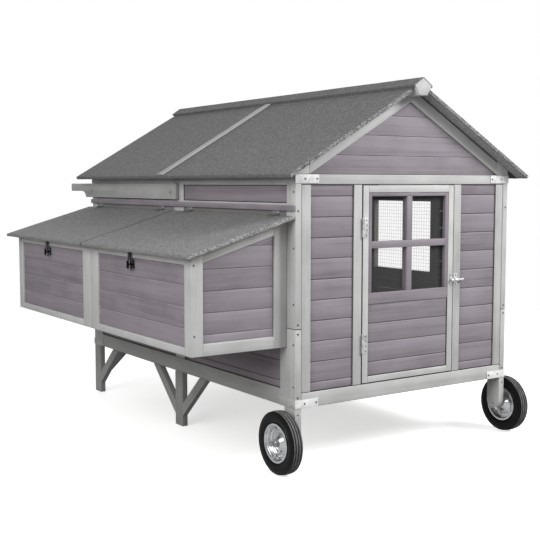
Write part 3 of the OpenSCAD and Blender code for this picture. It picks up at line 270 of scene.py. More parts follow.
def leave_bare_and_shade(mesh, node, outward, sides):
    """Marks the faces without paint, which are all but those that look outward and, where the
    sides are painted, those on the sides of the node's box; their very dark colour is painted shade.
    The undersides of arrises get part of that dark colour as painted shade."""
    bare_and_shade = mesh.faces.layers.float.new("bare_and_shade")
    low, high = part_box(node)
    for face in mesh.faces:
        middle = face.calc_center_median()
        facing = face.normal.dot(outward)
        outside = sides and any(
            abs(face.normal[i]) > 0.9 and min(middle[i] - low[i], high[i] - middle[i]) < box_skin
            for i in (0, 1))
        if facing < -0.5 or (facing < 0.3 and not outside):
            face[bare_and_shade] = 1.0
        # Undersides of arrises: painted shade.
        elif face.normal.z < -0.3:
            face[bare_and_shade] = underside_shade


def slice_mesh(mesh, place, square):
    """Cuts the faces of a mesh along a plane through a place."""
    everything = mesh.verts[:] + mesh.edges[:] + mesh.faces[:]
    bmesh.ops.bisect_plane(mesh, geom=everything, dist=1e-6, plane_co=place, plane_no=square)


rail_drop = 0.006
# Share of the dark colour below the cover strip, a painted shadow, and how far down it reaches.
strip_shadow = 0.75
strip_shadow_reach = 0.04
# Share of the dark colour on the lowest rail: painted shade under the nest box.
under_nest_shade = 0.25


def drop_and_shade_rail(mesh, outward):
    """Brings the foot of the lid rail down behind the lids, and marks the part of it below the cover
    strip as painted shadow of the strip, and the lowest rail as painted shade under the nest box."""
    rail_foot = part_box("lid_hinge_plates")[0].z
    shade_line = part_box("left_wall_boards")[0].z
    strip_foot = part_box("hinge_strip")[0]
    lid_start, lid_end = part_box("front_lid_felt")[0].y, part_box("rear_lid_felt")[1].y
    for vert in mesh.verts:
        if -0.001 < vert.co.z - rail_foot < 0.004:
            vert.co.z -= rail_drop
    slice_mesh(mesh, strip_foot, (0, 0, 1))
    bare_and_shade = mesh.faces.layers.float["bare_and_shade"]
    for face in mesh.faces:
        if face.normal.dot(outward) <= 0.5:
            continue
        middle = face.calc_center_median()
        if lid_start < middle.y < lid_end and strip_foot.z - strip_shadow_reach < middle.z < strip_foot.z:
            face[bare_and_shade] = strip_shadow
        elif middle.z < shade_line:
            face[bare_and_shade] = max(face[bare_and_shade], under_nest_shade)


def box_of(verts):
    """The low and high corners of some vertices."""
    return (Vector([min(vert.co[i] for vert in verts) for i in range(3)]),
            Vector([max(vert.co[i] for vert in verts) for i in range(3)]))


def house_ends(mesh, depth):
    """Lets the two ends of every level board into the frame beside them."""
    for board in separate_bits(mesh):
        low, high = box_of(board)
        axis = max((0, 1), key=lambda i: high[i] - low[i])
        for vert in board:
            if vert.co[axis] - low[axis] < 1e-4:
                vert.co[axis] -= depth
            elif high[axis] - vert.co[axis] < 1e-4:
                vert.co[axis] += depth


def dress_timber(node, finish, arris, outward=None, sides=True, joint=0.0, touch_up=None, housed=0.0):
    """The sticks or boards of a node, eased and with grain."""
    mesh = solids_of(node)
    house_ends(mesh, housed)
    open_joints(mesh, joint)
    ease_edges(mesh, arris)
    lay_grain(mesh)
    if outward:
        leave_bare_and_shade(mesh, node, outward, sides)
    if touch_up:
        touch_up(mesh, outward)
    return make_piece("dressed_" + node, mesh, finish, node)


light_paint = painted_wood("light_grey_paint", (0.512, 0.512, 0.507), (0.6, 0.595, 0.58),
                           streak=0.5, relief=0.0005)
frame_arris = 0.0022
frame_joint = 0.0006
out_of_house = {"front": Vector((0, -1, 0)), "rear": Vector((0, 1, 0)),
                "left": Vector((-1, 0, 0)), "right": Vector((1, 0, 0))}
# Inner faces, faces in gaps and undersides of arrises get the very dark colour as painted shade; on the
# left wall the rail is darkened under the cover strip and under the nest as painted shadow.
for wall, outward in out_of_house.items():
    dress_timber(wall + "_wall_frame", light_paint, frame_arris, outward, joint=frame_joint,
                 touch_up=drop_and_shade_rail if wall == "left" else None)

# Wall boards. Thin softwood boards let in behind the faces of the frames, with rounded long
# edges that make a shadow line at every joint. Stained a mauve grey that lets the grain show.
mauve_paint = painted_wood("mauve_grey_stain", (0.265, 0.235, 0.265), (0.36, 0.33, 0.355),
                           streak=0.85, relief=0.0006)
board_arris = 0.0032
board_joint = -0.0002
board_housed = 0.004
# The boards' inner faces and the undersides of their rounded edges get the very dark colour as painted
# shade.
for wall, outward in out_of_house.items():
    dress_timber(wall + "_wall_boards", mauve_paint, board_arris, outward, joint=board_joint,
                 housed=board_housed)

# Gables and ridge. Each gable has two rake boards that meet under the ridge beam, boards let in
# between them, and a block at each corner. The eave plates and the ridge beam carry the roof.
fresh_paint = painted_wood("fresh_grey_paint", (0.58, 0.58, 0.575), (0.65, 0.645, 0.63),
                           streak=0.45, relief=0.0005)
for node in ("gable_frames", "eave_plates"):
    dress_timber(node, light_paint, frame_arris)
dress_timber("ridge_beam", fresh_paint, frame_arris)
dress_timber("gable_boards", mauve_paint, board_arris, joint=board_joint)


# Floor and roosts. Plywood panels on sawn joists, and two roost bars on cleats screwed to the
# side walls. All of it is bare wood, dull and a little dirty.
def bare_wood(name, pale, dark):
    """Unpainted softwood, banded along the grain."""
    finish, tree, shader = blank_finish(name, 0.75)
    grain = carried(tree, "grain", "Vector")
    bands = mottle(tree, stretched(tree, grain, (1.5, 40.0, 40.0)), 1.0, 6.0, 0.65)
    dirt = mottle(tree, grain, 9.0, 4.0, 0.6)
    value = sums(tree, (bands, 0.7), (dirt, 0.3), (carried(tree, "tone"), 0.05))
    tree.links.new(ramp(tree, value, (0.36, dark), (0.62, pale)), shader.inputs["Base Color"])
    tree.links.new(spread(tree, dirt, 0.65, 0.85), shader.inputs["Roughness"])
    shader.inputs["Specular IOR Level"].default_value = 0.2
    rubbed(tree, shader, bands, 0.5, 0.0005)
    return finish


sawn_wood = bare_wood("sawn_softwood", (0.46, 0.4, 0.33), (0.27, 0.22, 0.17))
sheet_arris = 0.001
for node in ("floor_joists", "floor_panels", "roosts"):
    dress_timber(node, sawn_wood, sheet_arris)

# Legs and braces. The wheel legs have round feet drilled for the axle bolts, and are painted like
# the frames. The other four stand square on the ground with slanting braces, and their paint is a
# darker copy of the frames' paint, painted shade for where they stand under the house.
dress_timber("wheel_legs", light_paint, frame_arris)
# A darker copy of the frame paint: painted shade under the house.
leg_paint = painted_wood("leg_paint_darkened_as_shade", (0.365, 0.365, 0.36), (0.46, 0.45, 0.43),
                         streak=0.7, relief=0.0006)
for node in ("support_legs", "leg_braces"):
    dress_timber(node, leg_paint, frame_arris, joint=frame_joint)


# Tyres. Moulded black rubber with ribs round the tread, a rounded shoulder and two fine rings
# on each sidewall, stretched over the rim.
def lathe(profile, centre, axis, steps):
    """A closed outline of (distance along the axis, radius) turned once round the axis."""
    mesh = bmesh.new()
    out = axis.orthogonal().normalized()
    verts = [mesh.verts.new(centre + axis * along + out * radius) for along, radius in profile]
    edges = [mesh.edges.new((verts[i - 1], verts[i])) for i in range(len(verts))]
    bmesh.ops.spin(mesh, geom=verts + edges, cent=centre, axis=axis, dvec=(0, 0, 0),
                   angle=math.tau, steps=steps, use_merge=True)
    bmesh.ops.remove_doubles(mesh, verts=mesh.verts, dist=1e-6)
    bmesh.ops.recalc_face_normals(mesh, faces=mesh.faces)
    return mesh


def place_on(tree):
    """The place on the object, in metres."""
    return wire(tree, "ShaderNodeTexCoord", {}).outputs["Object"]


def moulded_rubber():
    """Black rubber, dusty in its pores, and grey on the tread crowns, partly from wear and partly as a
    painted highlight along the ribs.
    """
    finish, tree, shader = blank_finish("moulded_rubber", 0.5)
    place = place_on(tree)
    scuffed_and_lit = carried(tree, "scuffed_and_lit")
    pores = mottle(tree, place, 900.0, 2.0)
    dust = mottle(tree, place, 30.0, 5.0, 0.65)
    black = ramp(tree, dust, (0.35, (0.0025, 0.0025, 0.0026)), (0.75, (0.007, 0.007, 0.007)))
    grey = ramp(tree, dust, (0.3, (0.07, 0.07, 0.07)), (0.7, (0.2, 0.2, 0.198)))
    tree.links.new(stain(tree, scuffed_and_lit, black, grey), shader.inputs["Base Color"])
    rough = sums(tree, (spread(tree, dust, 0.3, 0.46), 1.0), (scuffed_and_lit, 0.3))
    tree.links.new(rough, shader.inputs["Roughness"])
    shader.inputs["Specular IOR Level"].default_value = 0.16
    rubbed(tree, shader, pores, 0.2, 0.0002)
    return finish


rubber = moulded_rubber()
out_of_side = {side: out_of_house[side] for side in ("left", "right")}
bead = 0.0756
groove = 0.0034
crown_fall = 0.0026
tyre_steps = 112
wheel_mid = {}
for side, outward in out_of_side.items():
    low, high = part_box(side + "_tyre")
    centre = (low + high) / 2
    wheel_mid[side] = centre
    radius = (high.z - low.z) / 2
    half = (high.x - low.x) / 2
    side_wall = [(half - 0.0052, bead), (half - 0.0042, 0.082), (half - 0.0018, 0.0855),
                 (half - 0.0006, 0.0935), (half, 0.1), (half, 0.1035), (half - 0.0009, 0.1042),
                 (half - 0.0009, 0.1056), (half, 0.1062), (half - 0.0003, 0.1105),
                 (half - 0.001, 0.1135), (half - 0.0019, 0.1138), (half - 0.002, 0.1175),
                 (half - 0.0032, radius - 0.0062), (half - 0.0041, radius - 0.0052)]
    tread = []
    for start, end in ((0.0205, 0.0150), (0.0092, 0.0030)):
        crown = radius - crown_fall * (start / half) ** 2
        floor = crown - groove
        tread += [(start, floor), (start - 0.0003, crown), (end + 0.0003, crown + 0.0004), (end, floor)]
    outer = side_wall + tread
    inner = [(-along, reach) for along, reach in reversed(outer)]
    mesh = lathe(outer + inner, centre, outward, tyre_steps)
    scuffed_and_lit = mesh.faces.layers.float.new("scuffed_and_lit")
    for face in mesh.faces:
        arm = face.calc_center_median() - centre
        # The tread crowns: grey partly from wear and partly as a painted highlight.
        if (arm - outward * arm.dot(outward)).length > radius - groove:
            face[scuffed_and_lit] = 1.0
    make_piece(side + "_ribbed_tyre", mesh, rubber, side + "_tyre", 34.0)


# Rims. Two pressed steel halves with rolled lips, bolted together through the web round a
# turned hub, and bright zinc plated all over.
def plated_steel(name, bright, dull, low_rough, high_rough, relief=0.03, metallic=1.0):
    """Zinc plate, cloudy and finely scratched."""
    finish, tree, shader = blank_finish(name, 0.3, metallic)
    place = place_on(tree)
    cloud = mottle(tree, place, 30.0, 3.0, 0.5)
    scuff = mottle(tree, place, 700.0, 3.0, 0.7)
    value = sums(tree, (cloud, 0.65), (scuff, 0.35))
    tree.links.new(ramp(tree, value, (0.35, dull), (0.62, bright)), shader.inputs["Base Color"])
    rough = spread(tree, value, low_rough, high_rough, 0.3, 0.7)
    tree.links.new(rough, shader.inputs["Roughness"])
    if relief:
        rubbed(tree, shader, scuff, relief, 0.0001)
    return finish


def add_bolt(mesh, place, outward, across, height, sides):
    """A washer, a nut or the end of a bolt, standing on a point."""
    turn = outward.to_track_quat("Z", "Y").to_matrix().to_4x4()
    turn.translation = place + outward * (height / 2)
    bmesh.ops.create_cone(mesh, cap_ends=True, segments=sides, radius1=across,
                          radius2=across * 0.96, depth=height, matrix=turn)


zinc = plated_steel("bright_zinc", (0.68, 0.69, 0.7), (0.58, 0.59, 0.6), 0.2, 0.26, relief=0.0)
rim_face = [(0.0249, 0.0712), (0.0249, 0.0782), (0.0236, 0.079), (0.0222, 0.0782), (0.0214, 0.0752),
            (0.006, 0.0745), (-0.006, 0.0735)]
rim_back = [(-0.0214, 0.0752), (-0.0222, 0.0782), (-0.0236, 0.079), (-0.0249, 0.0782),
            (-0.0249, 0.0712), (-0.0232, 0.0708), (-0.0085, 0.069), (-0.0055, 0.066)]
hub_back = [(-0.0046, 0.061), (-0.0046, 0.049), (-0.0068, 0.0475), (-0.0068, 0.0455),
            (-0.0046, 0.044), (-0.0046, 0.041), (-0.0076, 0.034), (-0.0141, 0.026),
            (-0.0206, 0.0175), (-0.031, 0.016), (-0.0318, 0.0148), (-0.0318, 0.0062)]
hub_face = [(0.0318, 0.0062), (0.0318, 0.0148), (0.031, 0.016), (0.015, 0.0175), (0.0085, 0.026),
            (0.002, 0.034), (-0.001, 0.041), (-0.001, 0.044), (0.0012, 0.0455), (0.0012, 0.0475),
            (-0.001, 0.049), (-0.001, 0.061), (0.0008, 0.0635), (0.004, 0.065), (0.0085, 0.0658),
            (0.0165, 0.0664), (0.0182, 0.0676), (0.0192, 0.0698), (0.0232, 0.0704)]
rim_steps = 80
rim_bolts = 5
bolt_ring = 0.0545
web_face, web_back = -0.0006, 0.005
washer_nut_and_end = ((0.0092, 0.0014, 20), (0.0062, 0.0052, 6), (0.0032, 0.0028, 12))
for side, outward in out_of_side.items():
    centre = wheel_mid[side]
    mesh = lathe(rim_face + rim_back + hub_back + hub_face, centre, outward, rim_steps)
    spoke = outward.orthogonal().normalized()
    for i in range(rim_bolts):
        arm = Matrix.Rotation(math.tau * (i + 0.35) / rim_bolts, 3, outward) @ spoke
        for way, seat in ((outward, web_face), (-outward, web_back)):
            for across, height, sides in washer_nut_and_end:
                add_bolt(mesh, centre + arm * bolt_ring + way * seat, way, across, height, sides)
                seat += height
    make_piece(side + "_pressed_rim", mesh, zinc, side + "_rim", 32.0)


# Axles. Long hexagon bolts through the wheel legs, each with a spacer tube behind the hub, and
# a washer and a nut in front of it.
def dress_metal(node, finish, ease, smooth=30.0, segments=2, merge=1e-5):
    """The metal pieces of a node, with broken edges. A wider merge closes slivers that would
    otherwise hold every edge sharp."""
    mesh = solids_of(node, merge)
    ease_edges(mesh, ease, 40.0, segments, clamp=merge < 1e-4)
    return make_piece("finished_" + node, mesh, finish, node, smooth)


dull_zinc = plated_steel("dull_zinc", (0.56, 0.57, 0.58), (0.36, 0.365, 0.37), 0.3, 0.5)
dress_metal("wheel_axles", dull_zinc, 0.0005)
dress_metal("axle_nuts", dull_zinc, 0.0006)

# Roof decks and battens. Grey primed sheets from ridge to eave, in two lengths, near black under
# the eaves as painted shade and felted under the verges in a paler tone as painted light, with a
# grey painted batten nailed over the joint on each slope, its grey darkened as painted shade.
primed_wood = bare_wood("grey_primed_board", (0.24, 0.24, 0.24), (0.15, 0.15, 0.15))
# Near black board under the eaves: painted shade.
eave_shade_wood = bare_wood("eave_shade_board", (0.03, 0.03, 0.031), (0.012, 0.012, 0.012))
# A darker copy of the frame paint: painted shade on the batten.
batten_paint = painted_wood("batten_paint_darkened_as_shade", (0.38, 0.38, 0.375), (0.46, 0.455, 0.44),
                            streak=0.7, relief=0.0005)
verge_slot, eave_shade_slot = 1, 2
mesh = solids_of("roof_decks")
ease_edges(mesh, sheet_arris)
lay_grain(mesh)
gable_low, gable_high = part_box("gable_frames")
wall_left, wall_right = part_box("left_wall_frame")[0].x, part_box("right_wall_frame")[1].x
for place in (gable_low, gable_high):
    slice_mesh(mesh, place, (0, 1, 0))
for place in (wall_left, wall_right):
    slice_mesh(mesh, (place, 0, 0), (1, 0, 0))
for face in mesh.faces:
    middle = face.calc_center_median()
    if face.normal.z < -0.5:
        if not gable_low.y < middle.y < gable_high.y:
            face.material_index = verge_slot
        elif not wall_left < middle.x < wall_right:
            face.material_index = eave_shade_slot
decks = make_piece("primed_roof_decks", mesh, primed_wood, "roof_decks")
dress_timber("roof_battens", batten_paint, 0.003)


# Roofing felt. Mineral felt laid over the decks and folded down over their ends and eaves and
# under the verges, and a strip over the ridge. Grey stone granules cover it, paler at the folds.
def mineral_felt(name, tone):
    """Slate granules on asphalt, from pale to nearly black, with paler chips along the cut edges
    and, along a seam, a near-black band that is painted shade of the gap between two sheets."""
    finish, tree, shader = blank_finish(name, 0.9)
    place = place_on(tree)
    chips = wire(tree, "ShaderNodeTexVoronoi", {"Vector": place, "Scale": 300.0, "Randomness": 1.0})
    chip = wire(tree, "ShaderNodeSeparateColor", {"Color": chips.outputs["Color"]}).outputs[0]
    grit = mottle(tree, place, 330.0, 3.0, 0.75)
    drift = mottle(tree, place, 26.0, 5.0, 0.65)
    value = sums(tree, (chip, 0.5), (grit, 0.3), (drift, 0.2))
    slate = ramp(tree, value, (0.2, shade(tone, 0.5)), (0.46, shade(tone, 0.92)),
                 (0.64, shade(tone, 1.15)), (0.8, shade(tone, 1.7)))
    pale = ramp(tree, value, (0.3, shade(tone, 0.4)), (0.44, shade(tone, 1.0)),
                (0.58, shade(tone, 1.45)), (0.8, (0.5, 0.5, 0.49)))
    dressed = stain(tree, carried(tree, "cut"), slate, pale)
    seam_shaded = stain(tree, carried(tree, "seam"), dressed, (0.025, 0.025, 0.026, 1.0))
    tree.links.new(seam_shaded, shader.inputs["Base Color"])
    shader.inputs["Specular IOR Level"].default_value = 0.25
    rubbed(tree, shader, sums(tree, (chip, 0.6), (grit, 0.4)), 0.7, 0.0011)
    return finish


slice_step = 0.024
ripple = 0.0009
# Width and share of the near-black band along a seam: painted shade of the gap between sheets.
seam_shade_width = 0.006
seam_shade_share = 0.45
fringe = 0.0014
hem_depth = 0.01


def lay_felt(node, name, finish, outward, down, fold, worn_end, belongs=lambda vert: True,
             run_on=0.0):
    """The felt of a node, or the part of it that belongs to one slope, with rounded folds, gentle
    ripples over its face and ragged hems. Outward is square to the sheet, down along it. The
    worn end is the end along y, or 0 for both, where the folds are pale. The other end, where
    two sheets meet, is cut square, with a near-black band along it as painted shade of the gap.
    The upper edge may run on past the board below it."""
    mesh = solids_of(node)
    others = [vert for vert in mesh.verts if not belongs(vert)]
    bmesh.ops.delete(mesh, geom=others, context="VERTS")
    head = min(vert.co.dot(down) for vert in mesh.verts)
    for vert in mesh.verts:
        if vert.co.dot(down) - head < 1e-4:
            vert.co -= down * run_on
    top = max(vert.co.dot(outward) for vert in mesh.verts)
    seam = min(vert.co.y * worn_end for vert in mesh.verts) + 0.001 if worn_end else -math.inf
    folds = [edge for edge in mesh.edges
             if all(top - vert.co.dot(outward) < 0.0005 for vert in edge.verts)
             and any(vert.co.y * worn_end > seam for vert in edge.verts)]
    bmesh.ops.bevel(mesh, geom=folds, offset=fold, offset_type="OFFSET", affect="EDGES",
                    segments=3, profile=0.5, material=-1, clamp_overlap=True)
    for across in (Vector((0, 1, 0)), down):
        reach = [vert.co.dot(across) for vert in mesh.verts]
        for i in range(1, int((max(reach) - min(reach)) / slice_step)):
            slice_mesh(mesh, across * (min(reach) + i * slice_step), across)
    if worn_end:
        slice_mesh(mesh, Vector((0, (seam + seam_shade_width) * worn_end, 0)), (0, 1, 0))
    bmesh.ops.dissolve_degenerate(mesh, dist=1e-5, edges=mesh.edges)
    cut = mesh.faces.layers.float.new("cut")
    seam_shade = mesh.faces.layers.float.new("seam")
    for face in mesh.faces:
        turned = abs(face.normal.y) if face.normal.y * worn_end >= 0 else 0.0
        face[cut] = min(1.0, max(0.0, turned - 0.2) / 0.6)
        if face.calc_center_median().y * worn_end < seam + seam_shade_width:
            face[seam_shade] = seam_shade_share
    for vert in mesh.verts:
        depth = top - vert.co.dot(outward)
        wave = noise.noise(vert.co * 9.0) * 0.6 + noise.noise(vert.co * 31.0) * 0.4
        vert.co += outward * (wave - 1.0) * ripple
        if depth > hem_depth:
            vert.co += outward * (noise.noise(vert.co * 140.0) + 0.3) * fringe
    return make_piece(name, mesh, finish, node, 40.0)


roof_felt = mineral_felt("roof_mineral_felt", (0.176, 0.176, 0.176))
roof_pitch = math.radians(30)
roof_fold, ridge_fold = 0.004, 0.002
ridge_x = sum(corner.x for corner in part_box("ridge_beam")) / 2
for side, outward in out_of_side.items():
    square = outward * math.sin(roof_pitch) + Vector((0, 0, math.cos(roof_pitch)))
    fall = outward * math.cos(roof_pitch) - Vector((0, 0, math.sin(roof_pitch)))
    lay_felt("roof_felt", side + "_roof_felt_sheets", roof_felt, square, fall, roof_fold, 0,
             lambda vert: (vert.co.x - ridge_x) * outward.x > 0)
lay_felt("ridge_felt", "ridge_felt_strip", roof_felt, Vector((0, 0, 1)), Vector((1, 0, 0)),
         ridge_fold, 0)
# Under the verges the felt takes a paler tone than on top: painted light on the shaded underside.
decks.data.materials.append(mineral_felt("lit_verge_mineral_felt", (0.36, 0.36, 0.36)))
decks.data.materials.append(eave_shade_wood)


# Nest box. Framed like the walls, in two halves screwed together at the middle, with boards
# let in at the front and ends, a plywood floor and a divider between the two nests.
def reach_wall(mesh, outward):
    """Runs the floor of the nests on to the wall of the house."""
    edge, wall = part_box("nest_floor")[1].x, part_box("nest_frame")[1].x
    for vert in mesh.verts:
        if edge - vert.co.x < 0.0015:
            vert.co.x += wall - edge


dress_timber("nest_frame", light_paint, frame_arris)
dress_timber("nest_boards", mauve_paint, board_arris, joint=board_joint)
dress_timber("nest_floor", sawn_wood, sheet_arris, touch_up=reach_wall)
dress_timber("nest_divider", sawn_wood, sheet_arris)

# Nest lids. Two sheets covered in the same felt, folded down at the ends and along the front,
# that hinge on the wall under a mauve cover strip. The felt runs on to the hinges and closes the
# gap there.
lid_felt = mineral_felt("lid_mineral_felt", (0.235, 0.235, 0.235))
lid_slope = math.radians(16.3)
lid_out = Vector((-math.sin(lid_slope), 0, math.cos(lid_slope)))
lid_down = Vector((-math.cos(lid_slope), 0, -math.sin(lid_slope)))
lid_fold = 0.006
lid_run_on = 0.0068
# Where the two lids meet, each felt gets a near-black band: painted shade of the gap between them.
for end, worn_end in (("front", -1), ("rear", 1)):
    dress_timber(end + "_lid_board", sawn_wood, sheet_arris)
    lay_felt(end + "_lid_felt", end + "_lid_felt_sheet", lid_felt, lid_out, lid_down, lid_fold,
             worn_end, run_on=lid_run_on)
dress_timber("hinge_strip", mauve_paint, 0.0016)

# Lid hinges. Steel butt hinges, zinc plated, with one leaf on the rail and one on the felt, and
# under each lid's front edge the leaf that carries a latch strap.
leaf_ease = 0.0003
leaf_merge = 0.00027
dress_metal("lid_hinge_plates", dull_zinc, leaf_ease, merge=leaf_merge)
coated_slot = 1
latch_leaves = []
for end in ("front", "rear"):
    leaf = dress_metal(end + "_lid_hardware", dull_zinc, leaf_ease, merge=leaf_merge)
    low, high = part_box(end + "_lid_hardware")
    for face in leaf.data.polygons:
        if face.center.x < (low.x + high.x) / 2:
            face.material_index = coated_slot
    latch_leaves.append(leaf)


# Nest latches. A forked strap hangs from each lid over the spindle of a turn knob on the
# nest's front. All three pieces are pressed steel with a black powder coat.
def powder_coat(name, colour, roughness, gloss=0.5):
    """Powder coat with a fine orange peel."""
    finish, tree, shader = blank_finish(name, roughness)
    shader.inputs["Specular IOR Level"].default_value = gloss
    place = place_on(tree)
    peel = mottle(tree, place, 650.0, 2.0)
    dust = mottle(tree, place, 60.0, 4.0, 0.6)
    tint = ramp(tree, dust, (0.3, shade(colour, 0.85)), (0.75, shade(colour, 1.25)))
    tree.links.new(tint, shader.inputs["Base Color"])
    rough = spread(tree, dust, roughness - 0.08, roughness + 0.12)
    tree.links.new(rough, shader.inputs["Roughness"])
    rubbed(tree, shader, peel, 0.2, 0.0002)
    return finish


black_coat = powder_coat("black_powder_coat", (0.005, 0.005, 0.0052), 0.34, 0.22)
for leaf in latch_leaves:
    leaf.data.materials.append(black_coat)
latch_ease = 0.0012
dress_metal("latch_plates", black_coat, latch_ease)
for end in ("front", "rear"):
    dress_metal(end + "_strap", black_coat, leaf_ease, merge=leaf_merge)
    dress_metal(end + "_knob", black_coat, latch_ease, segments=3)

# Handles. Two planks bolted along the side walls, cut back behind the house to a hand grip, with
# zinc plated bolt heads and a grey paint darkened as painted shade under the eaves.
# A darker copy of the frame paint: painted shade under the eaves.
handle_paint = painted_wood("handle_paint_darkened_as_shade", (0.36, 0.36, 0.355), (0.46, 0.45, 0.43),
                            streak=0.7, relief=0.0005)
dress_timber("handles", handle_paint, 0.003)
dress_metal("handle_bolts", dull_zinc, 0.0016, segments=3)


# Door. A light painted frame with mauve boards in its lower half, and a mauve surround with
# crossed bars round a clear sheet in its upper half.
def paint_back(mesh, outward):
    """Paints the back of the door, which shows when it stands open."""
    bare_and_shade = mesh.faces.layers.float["bare_and_shade"]
    for face in mesh.faces:
        if face.normal.dot(outward) < -0.3:
            face[bare_and_shade] = 0.0


front = out_of_house["front"]
door_arris, window_arris = 0.0018, 0.002
door_joint = 0.0002
# The door's edges and the undersides of its arrises get the very dark colour, painted shade in the gap
# round it.
dress_timber("door_frame", fresh_paint, door_arris, front, sides=False, joint=door_joint,
             touch_up=paint_back)
dress_timber("door_boards", mauve_paint, board_arris, front, joint=board_joint, touch_up=paint_back)
for node in ("window_surround", "window_muntins"):
    dress_timber(node, mauve_paint, window_arris)


def clear_sheet():
    """Clear acrylic, faintly smeared, seen through and glossy."""
    finish, tree, shader = blank_finish("clear_acrylic", 0.08)
    place = place_on(tree)
    smear = mottle(tree, place, 6.0, 4.0, 0.6)
    tree.links.new(spread(tree, smear, 0.03, 0.16), shader.inputs["Roughness"])
    shader.inputs["Base Color"].default_value = (0.5, 0.5, 0.5, 1.0)
    shader.inputs["Alpha"].default_value = 0.055
    return finish


pane = frame["nodes"]["window_pane"]
pane.data.materials.clear()
pane.data.materials.append(clear_sheet())


# Door hinges and bolt. Zinc plated steel butt hinges with one leaf on the door's face, and a
# round bolt that slides in a guide on the jamb into a keeper on the door. Small dark screws hold
# the leaves and the plates.
def add_screw(mesh, seat, outward, radius):
    """A countersunk screw head with a recess, on a point of a face."""
    dome = [(0.1, 0.97), (0.22, 0.75), (0.27, 0.4), (0.05, 0.33), (0.05, 0.0)]
    profile = [(-0.0001, 0.0), (-0.0001, radius)]
    profile += [(radius * rise, radius * reach) for rise, reach in dome]
    head = lathe(profile, seat, outward, screw_steps)
    data = bpy.data.meshes.new("screw_head")
    head.to_mesh(data)
    head.free()
    mesh.from_mesh(data)
    bpy.data.meshes.remove(data)


white_zinc = plated_steel("white_zinc", (0.72, 0.72, 0.72), (0.42, 0.42, 0.42), 0.32, 0.5,
                          metallic=0.5)
dark_zinc = plated_steel("dark_screw_steel", (0.2, 0.2, 0.205), (0.09, 0.09, 0.092), 0.35, 0.55)
for node in ("door_hinge_plates", "door_hinge_leaves", "bolt_guide", "bolt_keeper", "door_bolt"):
    dress_metal(node, white_zinc, 0.0005)
screw_r = 0.0034
screw_steps = 14
end_row, mid_row = 0.0095, 0.005
leaves = solids_of("door_hinge_leaves")
mesh = bmesh.new()
for leaf in separate_bits(leaves):
    low, high = box_of(leaf)
    face_y = min(vert.co.y for vert in leaf if vert.co.x > high.x - 0.001)
    for share, row in ((0.12, end_row), (0.37, mid_row), (0.63, mid_row), (0.88, end_row)):
        seat = Vector((high.x - row, face_y, low.z + (high.z - low.z) * share))
        add_screw(mesh, seat, front, screw_r)
leaves.free()
make_piece("hinge_screws", mesh, dark_zinc, "door_hinge_leaves", 40.0, False)
plate_thick = 0.0015
for node in ("bolt_guide", "bolt_keeper"):
    low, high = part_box(node)
    mesh = bmesh.new()
    for share in (0.14, 0.86):
        height = low.z + (high.z - low.z) * share
        add_screw(mesh, Vector(((low.x + high.x) / 2, high.y - plate_thick, height)), front, screw_r)
    make_piece(node + "_screws", mesh, dark_zinc, node, 40.0, False)

# Mesh window. Square welded wire stapled over the opening from inside, galvanised, with the
# upright wires in front of the level ones.
galvanised = plated_steel("galvanised_wire", (0.13, 0.132, 0.135), (0.07, 0.072, 0.074), 0.4, 0.55)
low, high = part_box("window_mesh")
middle = (low + high) / 2
wire_r = 0.0004
wire_pitch = 0.0172
upright = Matrix.Identity(4)
level = Matrix.Rotation(math.pi / 2, 4, "X")
places = [(upright, high.z - low.z, Vector((middle.x + wire_r, low.y + i * wire_pitch, middle.z)))
          for i in range(int((high.y - low.y) / wire_pitch) + 1)]
places += [(level, high.y - low.y, Vector((middle.x - wire_r * 0.8, middle.y, low.z + i * wire_pitch)))
           for i in range(int((high.z - low.z) / wire_pitch) + 1)]
mesh = bmesh.new()
for way, length, place in places:
    turn = way.copy()
    turn.translation = place
    bmesh.ops.create_cone(mesh, cap_ends=True, segments=6, radius1=wire_r, radius2=wire_r,
                          depth=length, matrix=turn)
make_piece("welded_wire_mesh", mesh, galvanised, "window_mesh", 60.0)

# Corner plates and screws. Folded steel angles, painted light grey, tie the walls together at
# the top and the foot of every corner; their side wings take a darker grey, painted shade on the
# faces turned sideways. Dark countersunk screws hold them and the posts.
plate_coat = powder_coat("light_grey_powder_coat", (0.78, 0.78, 0.775), 0.45)
plates = dress_metal("corner_plates", plate_coat, 0.0007)
plates.data.materials.append(powder_coat("shaded_grey_powder_coat", (0.46, 0.46, 0.455), 0.5))
# Side-facing wings get the darker grey: painted shade.
shaded_wing_slot = 1
for face in plates.data.polygons:
    if abs(face.normal.x) > 0.7:
        face.material_index = shaded_wing_slot
post_screw_r = 0.0044
screws = solids_of("frame_screws")
mesh = bmesh.new()
for bit in separate_bits(screws):
    low, high = box_of(bit)
    size = high - low
    centre = (low + high) / 2
    if size.x < size.y:
        outward = out_of_house["left" if centre.x < 0 else "right"]
    else:
        outward = out_of_house["front" if centre.y < 0 else "rear"]
    add_screw(mesh, centre - outward * min(size) / 2, outward, post_screw_r)
screws.free()
make_piece("countersunk_screws", mesh, dark_zinc, "frame_screws", 40.0)


# Studio. A pale floor that keeps the soft shadow, a white surround, one large soft lamp in front
# to the right, weaker ones from the left and from behind, and a camera at standing distance off
# the front left corner.
def straight_rays(tree):
    """The kinds of ray, and a switch for those from the camera, through clear sheets too."""
    kinds = wire(tree, "ShaderNodeLightPath", {}).outputs
    return kinds, reckon(tree, "MAXIMUM", kinds["Is Camera Ray"], kinds["Is Transmission Ray"])


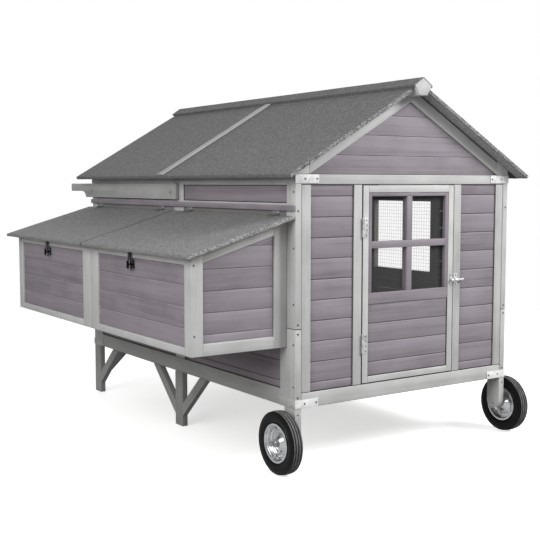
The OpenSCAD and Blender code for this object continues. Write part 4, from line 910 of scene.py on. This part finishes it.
floor_mesh = bmesh.new()
bmesh.ops.create_grid(floor_mesh, x_segments=1, y_segments=1, size=40.0)
floor_data = bpy.data.meshes.new("studio_floor")
floor_mesh.to_mesh(floor_data)
floor_mesh.free()
studio_floor = bpy.data.objects.new("studio_floor", floor_data)
bpy.context.scene.collection.objects.link(studio_floor)
floor_finish, tree, shader = blank_finish("pale_floor", 0.9)
shader.inputs["Specular IOR Level"].default_value = 0.0
shader.inputs["Emission Color"].default_value = (1.0, 1.0, 1.0, 1.0)
kinds, straight = straight_rays(tree)
away = wire(tree, "ShaderNodeVectorMath", {0: place_on(tree)}, operation="LENGTH").outputs["Value"]
fade_start, fade_end = 1.6, 4.5
far = spread(tree, away, 0.0, 1.0, fade_start, fade_end)
paper = stain(tree, far, (0.9, 0.9, 0.9, 1.0), (0.0, 0.0, 0.0, 1.0))
floor_colour = stain(tree, straight, (0.28, 0.28, 0.28, 1.0), paper)
tree.links.new(floor_colour, shader.inputs["Base Color"])
mirrored = reckon(tree, "MULTIPLY", kinds["Is Glossy Ray"], 0.45)
glow = reckon(tree, "MULTIPLY_ADD", straight, spread(tree, far, 0.6, 1.0), mirrored)
tree.links.new(glow, shader.inputs["Emission Strength"])
floor_data.materials.append(floor_finish)

surround = bpy.data.worlds.new("white_surround")
bpy.context.scene.world = surround
surround.use_nodes = True
tree = surround.node_tree
sky = tree.nodes["Background"]
straight = straight_rays(tree)[1]
tree.links.new(spread(tree, straight, 0.3, 1.0), sky.inputs["Strength"])
sky.inputs["Color"].default_value = (1.0, 1.0, 1.0, 1.0)


def soft_lamp(name, place, aim, width, height, power):
    """A large soft lamp that faces a point."""
    data = bpy.data.lights.new(name, "AREA")
    data.shape = "RECTANGLE"
    data.size = width
    data.size_y = height
    data.energy = power
    lamp = bpy.data.objects.new(name, data)
    bpy.context.scene.collection.objects.link(lamp)
    lamp.location = place
    lamp.rotation_euler = (Vector(aim) - Vector(place)).to_track_quat("-Z", "Y").to_euler()


soft_lamp("front_lamp", (3.2, -4.9, 4.2), (0.1, -0.8, 0.7), 2.6, 2.2, 345.0)
soft_lamp("left_lamp", (-5.1, -2.3, 3.45), (-0.5, 0.0, 0.7), 4.0, 4.0, 228.0)
soft_lamp("rear_lamp", (2.4, 6.0, 2.5), (0.2, 0.6, 0.7), 4.0, 4.0, 170.0)

camera_data = bpy.data.cameras.new("camera")
camera_data.sensor_width = 36.0
camera_data.lens = 65.07
camera = bpy.data.objects.new("camera", camera_data)
bpy.context.scene.collection.objects.link(camera)
camera.location = (-2.581, -4.1061, 1.1432)
camera_dip, camera_turn = 5.045, -33.949
camera.rotation_euler = (math.radians(90.0 - camera_dip), 0.0, math.radians(camera_turn))
bpy.context.scene.camera = camera
bpy.context.scene.view_settings.view_transform = "Standard"
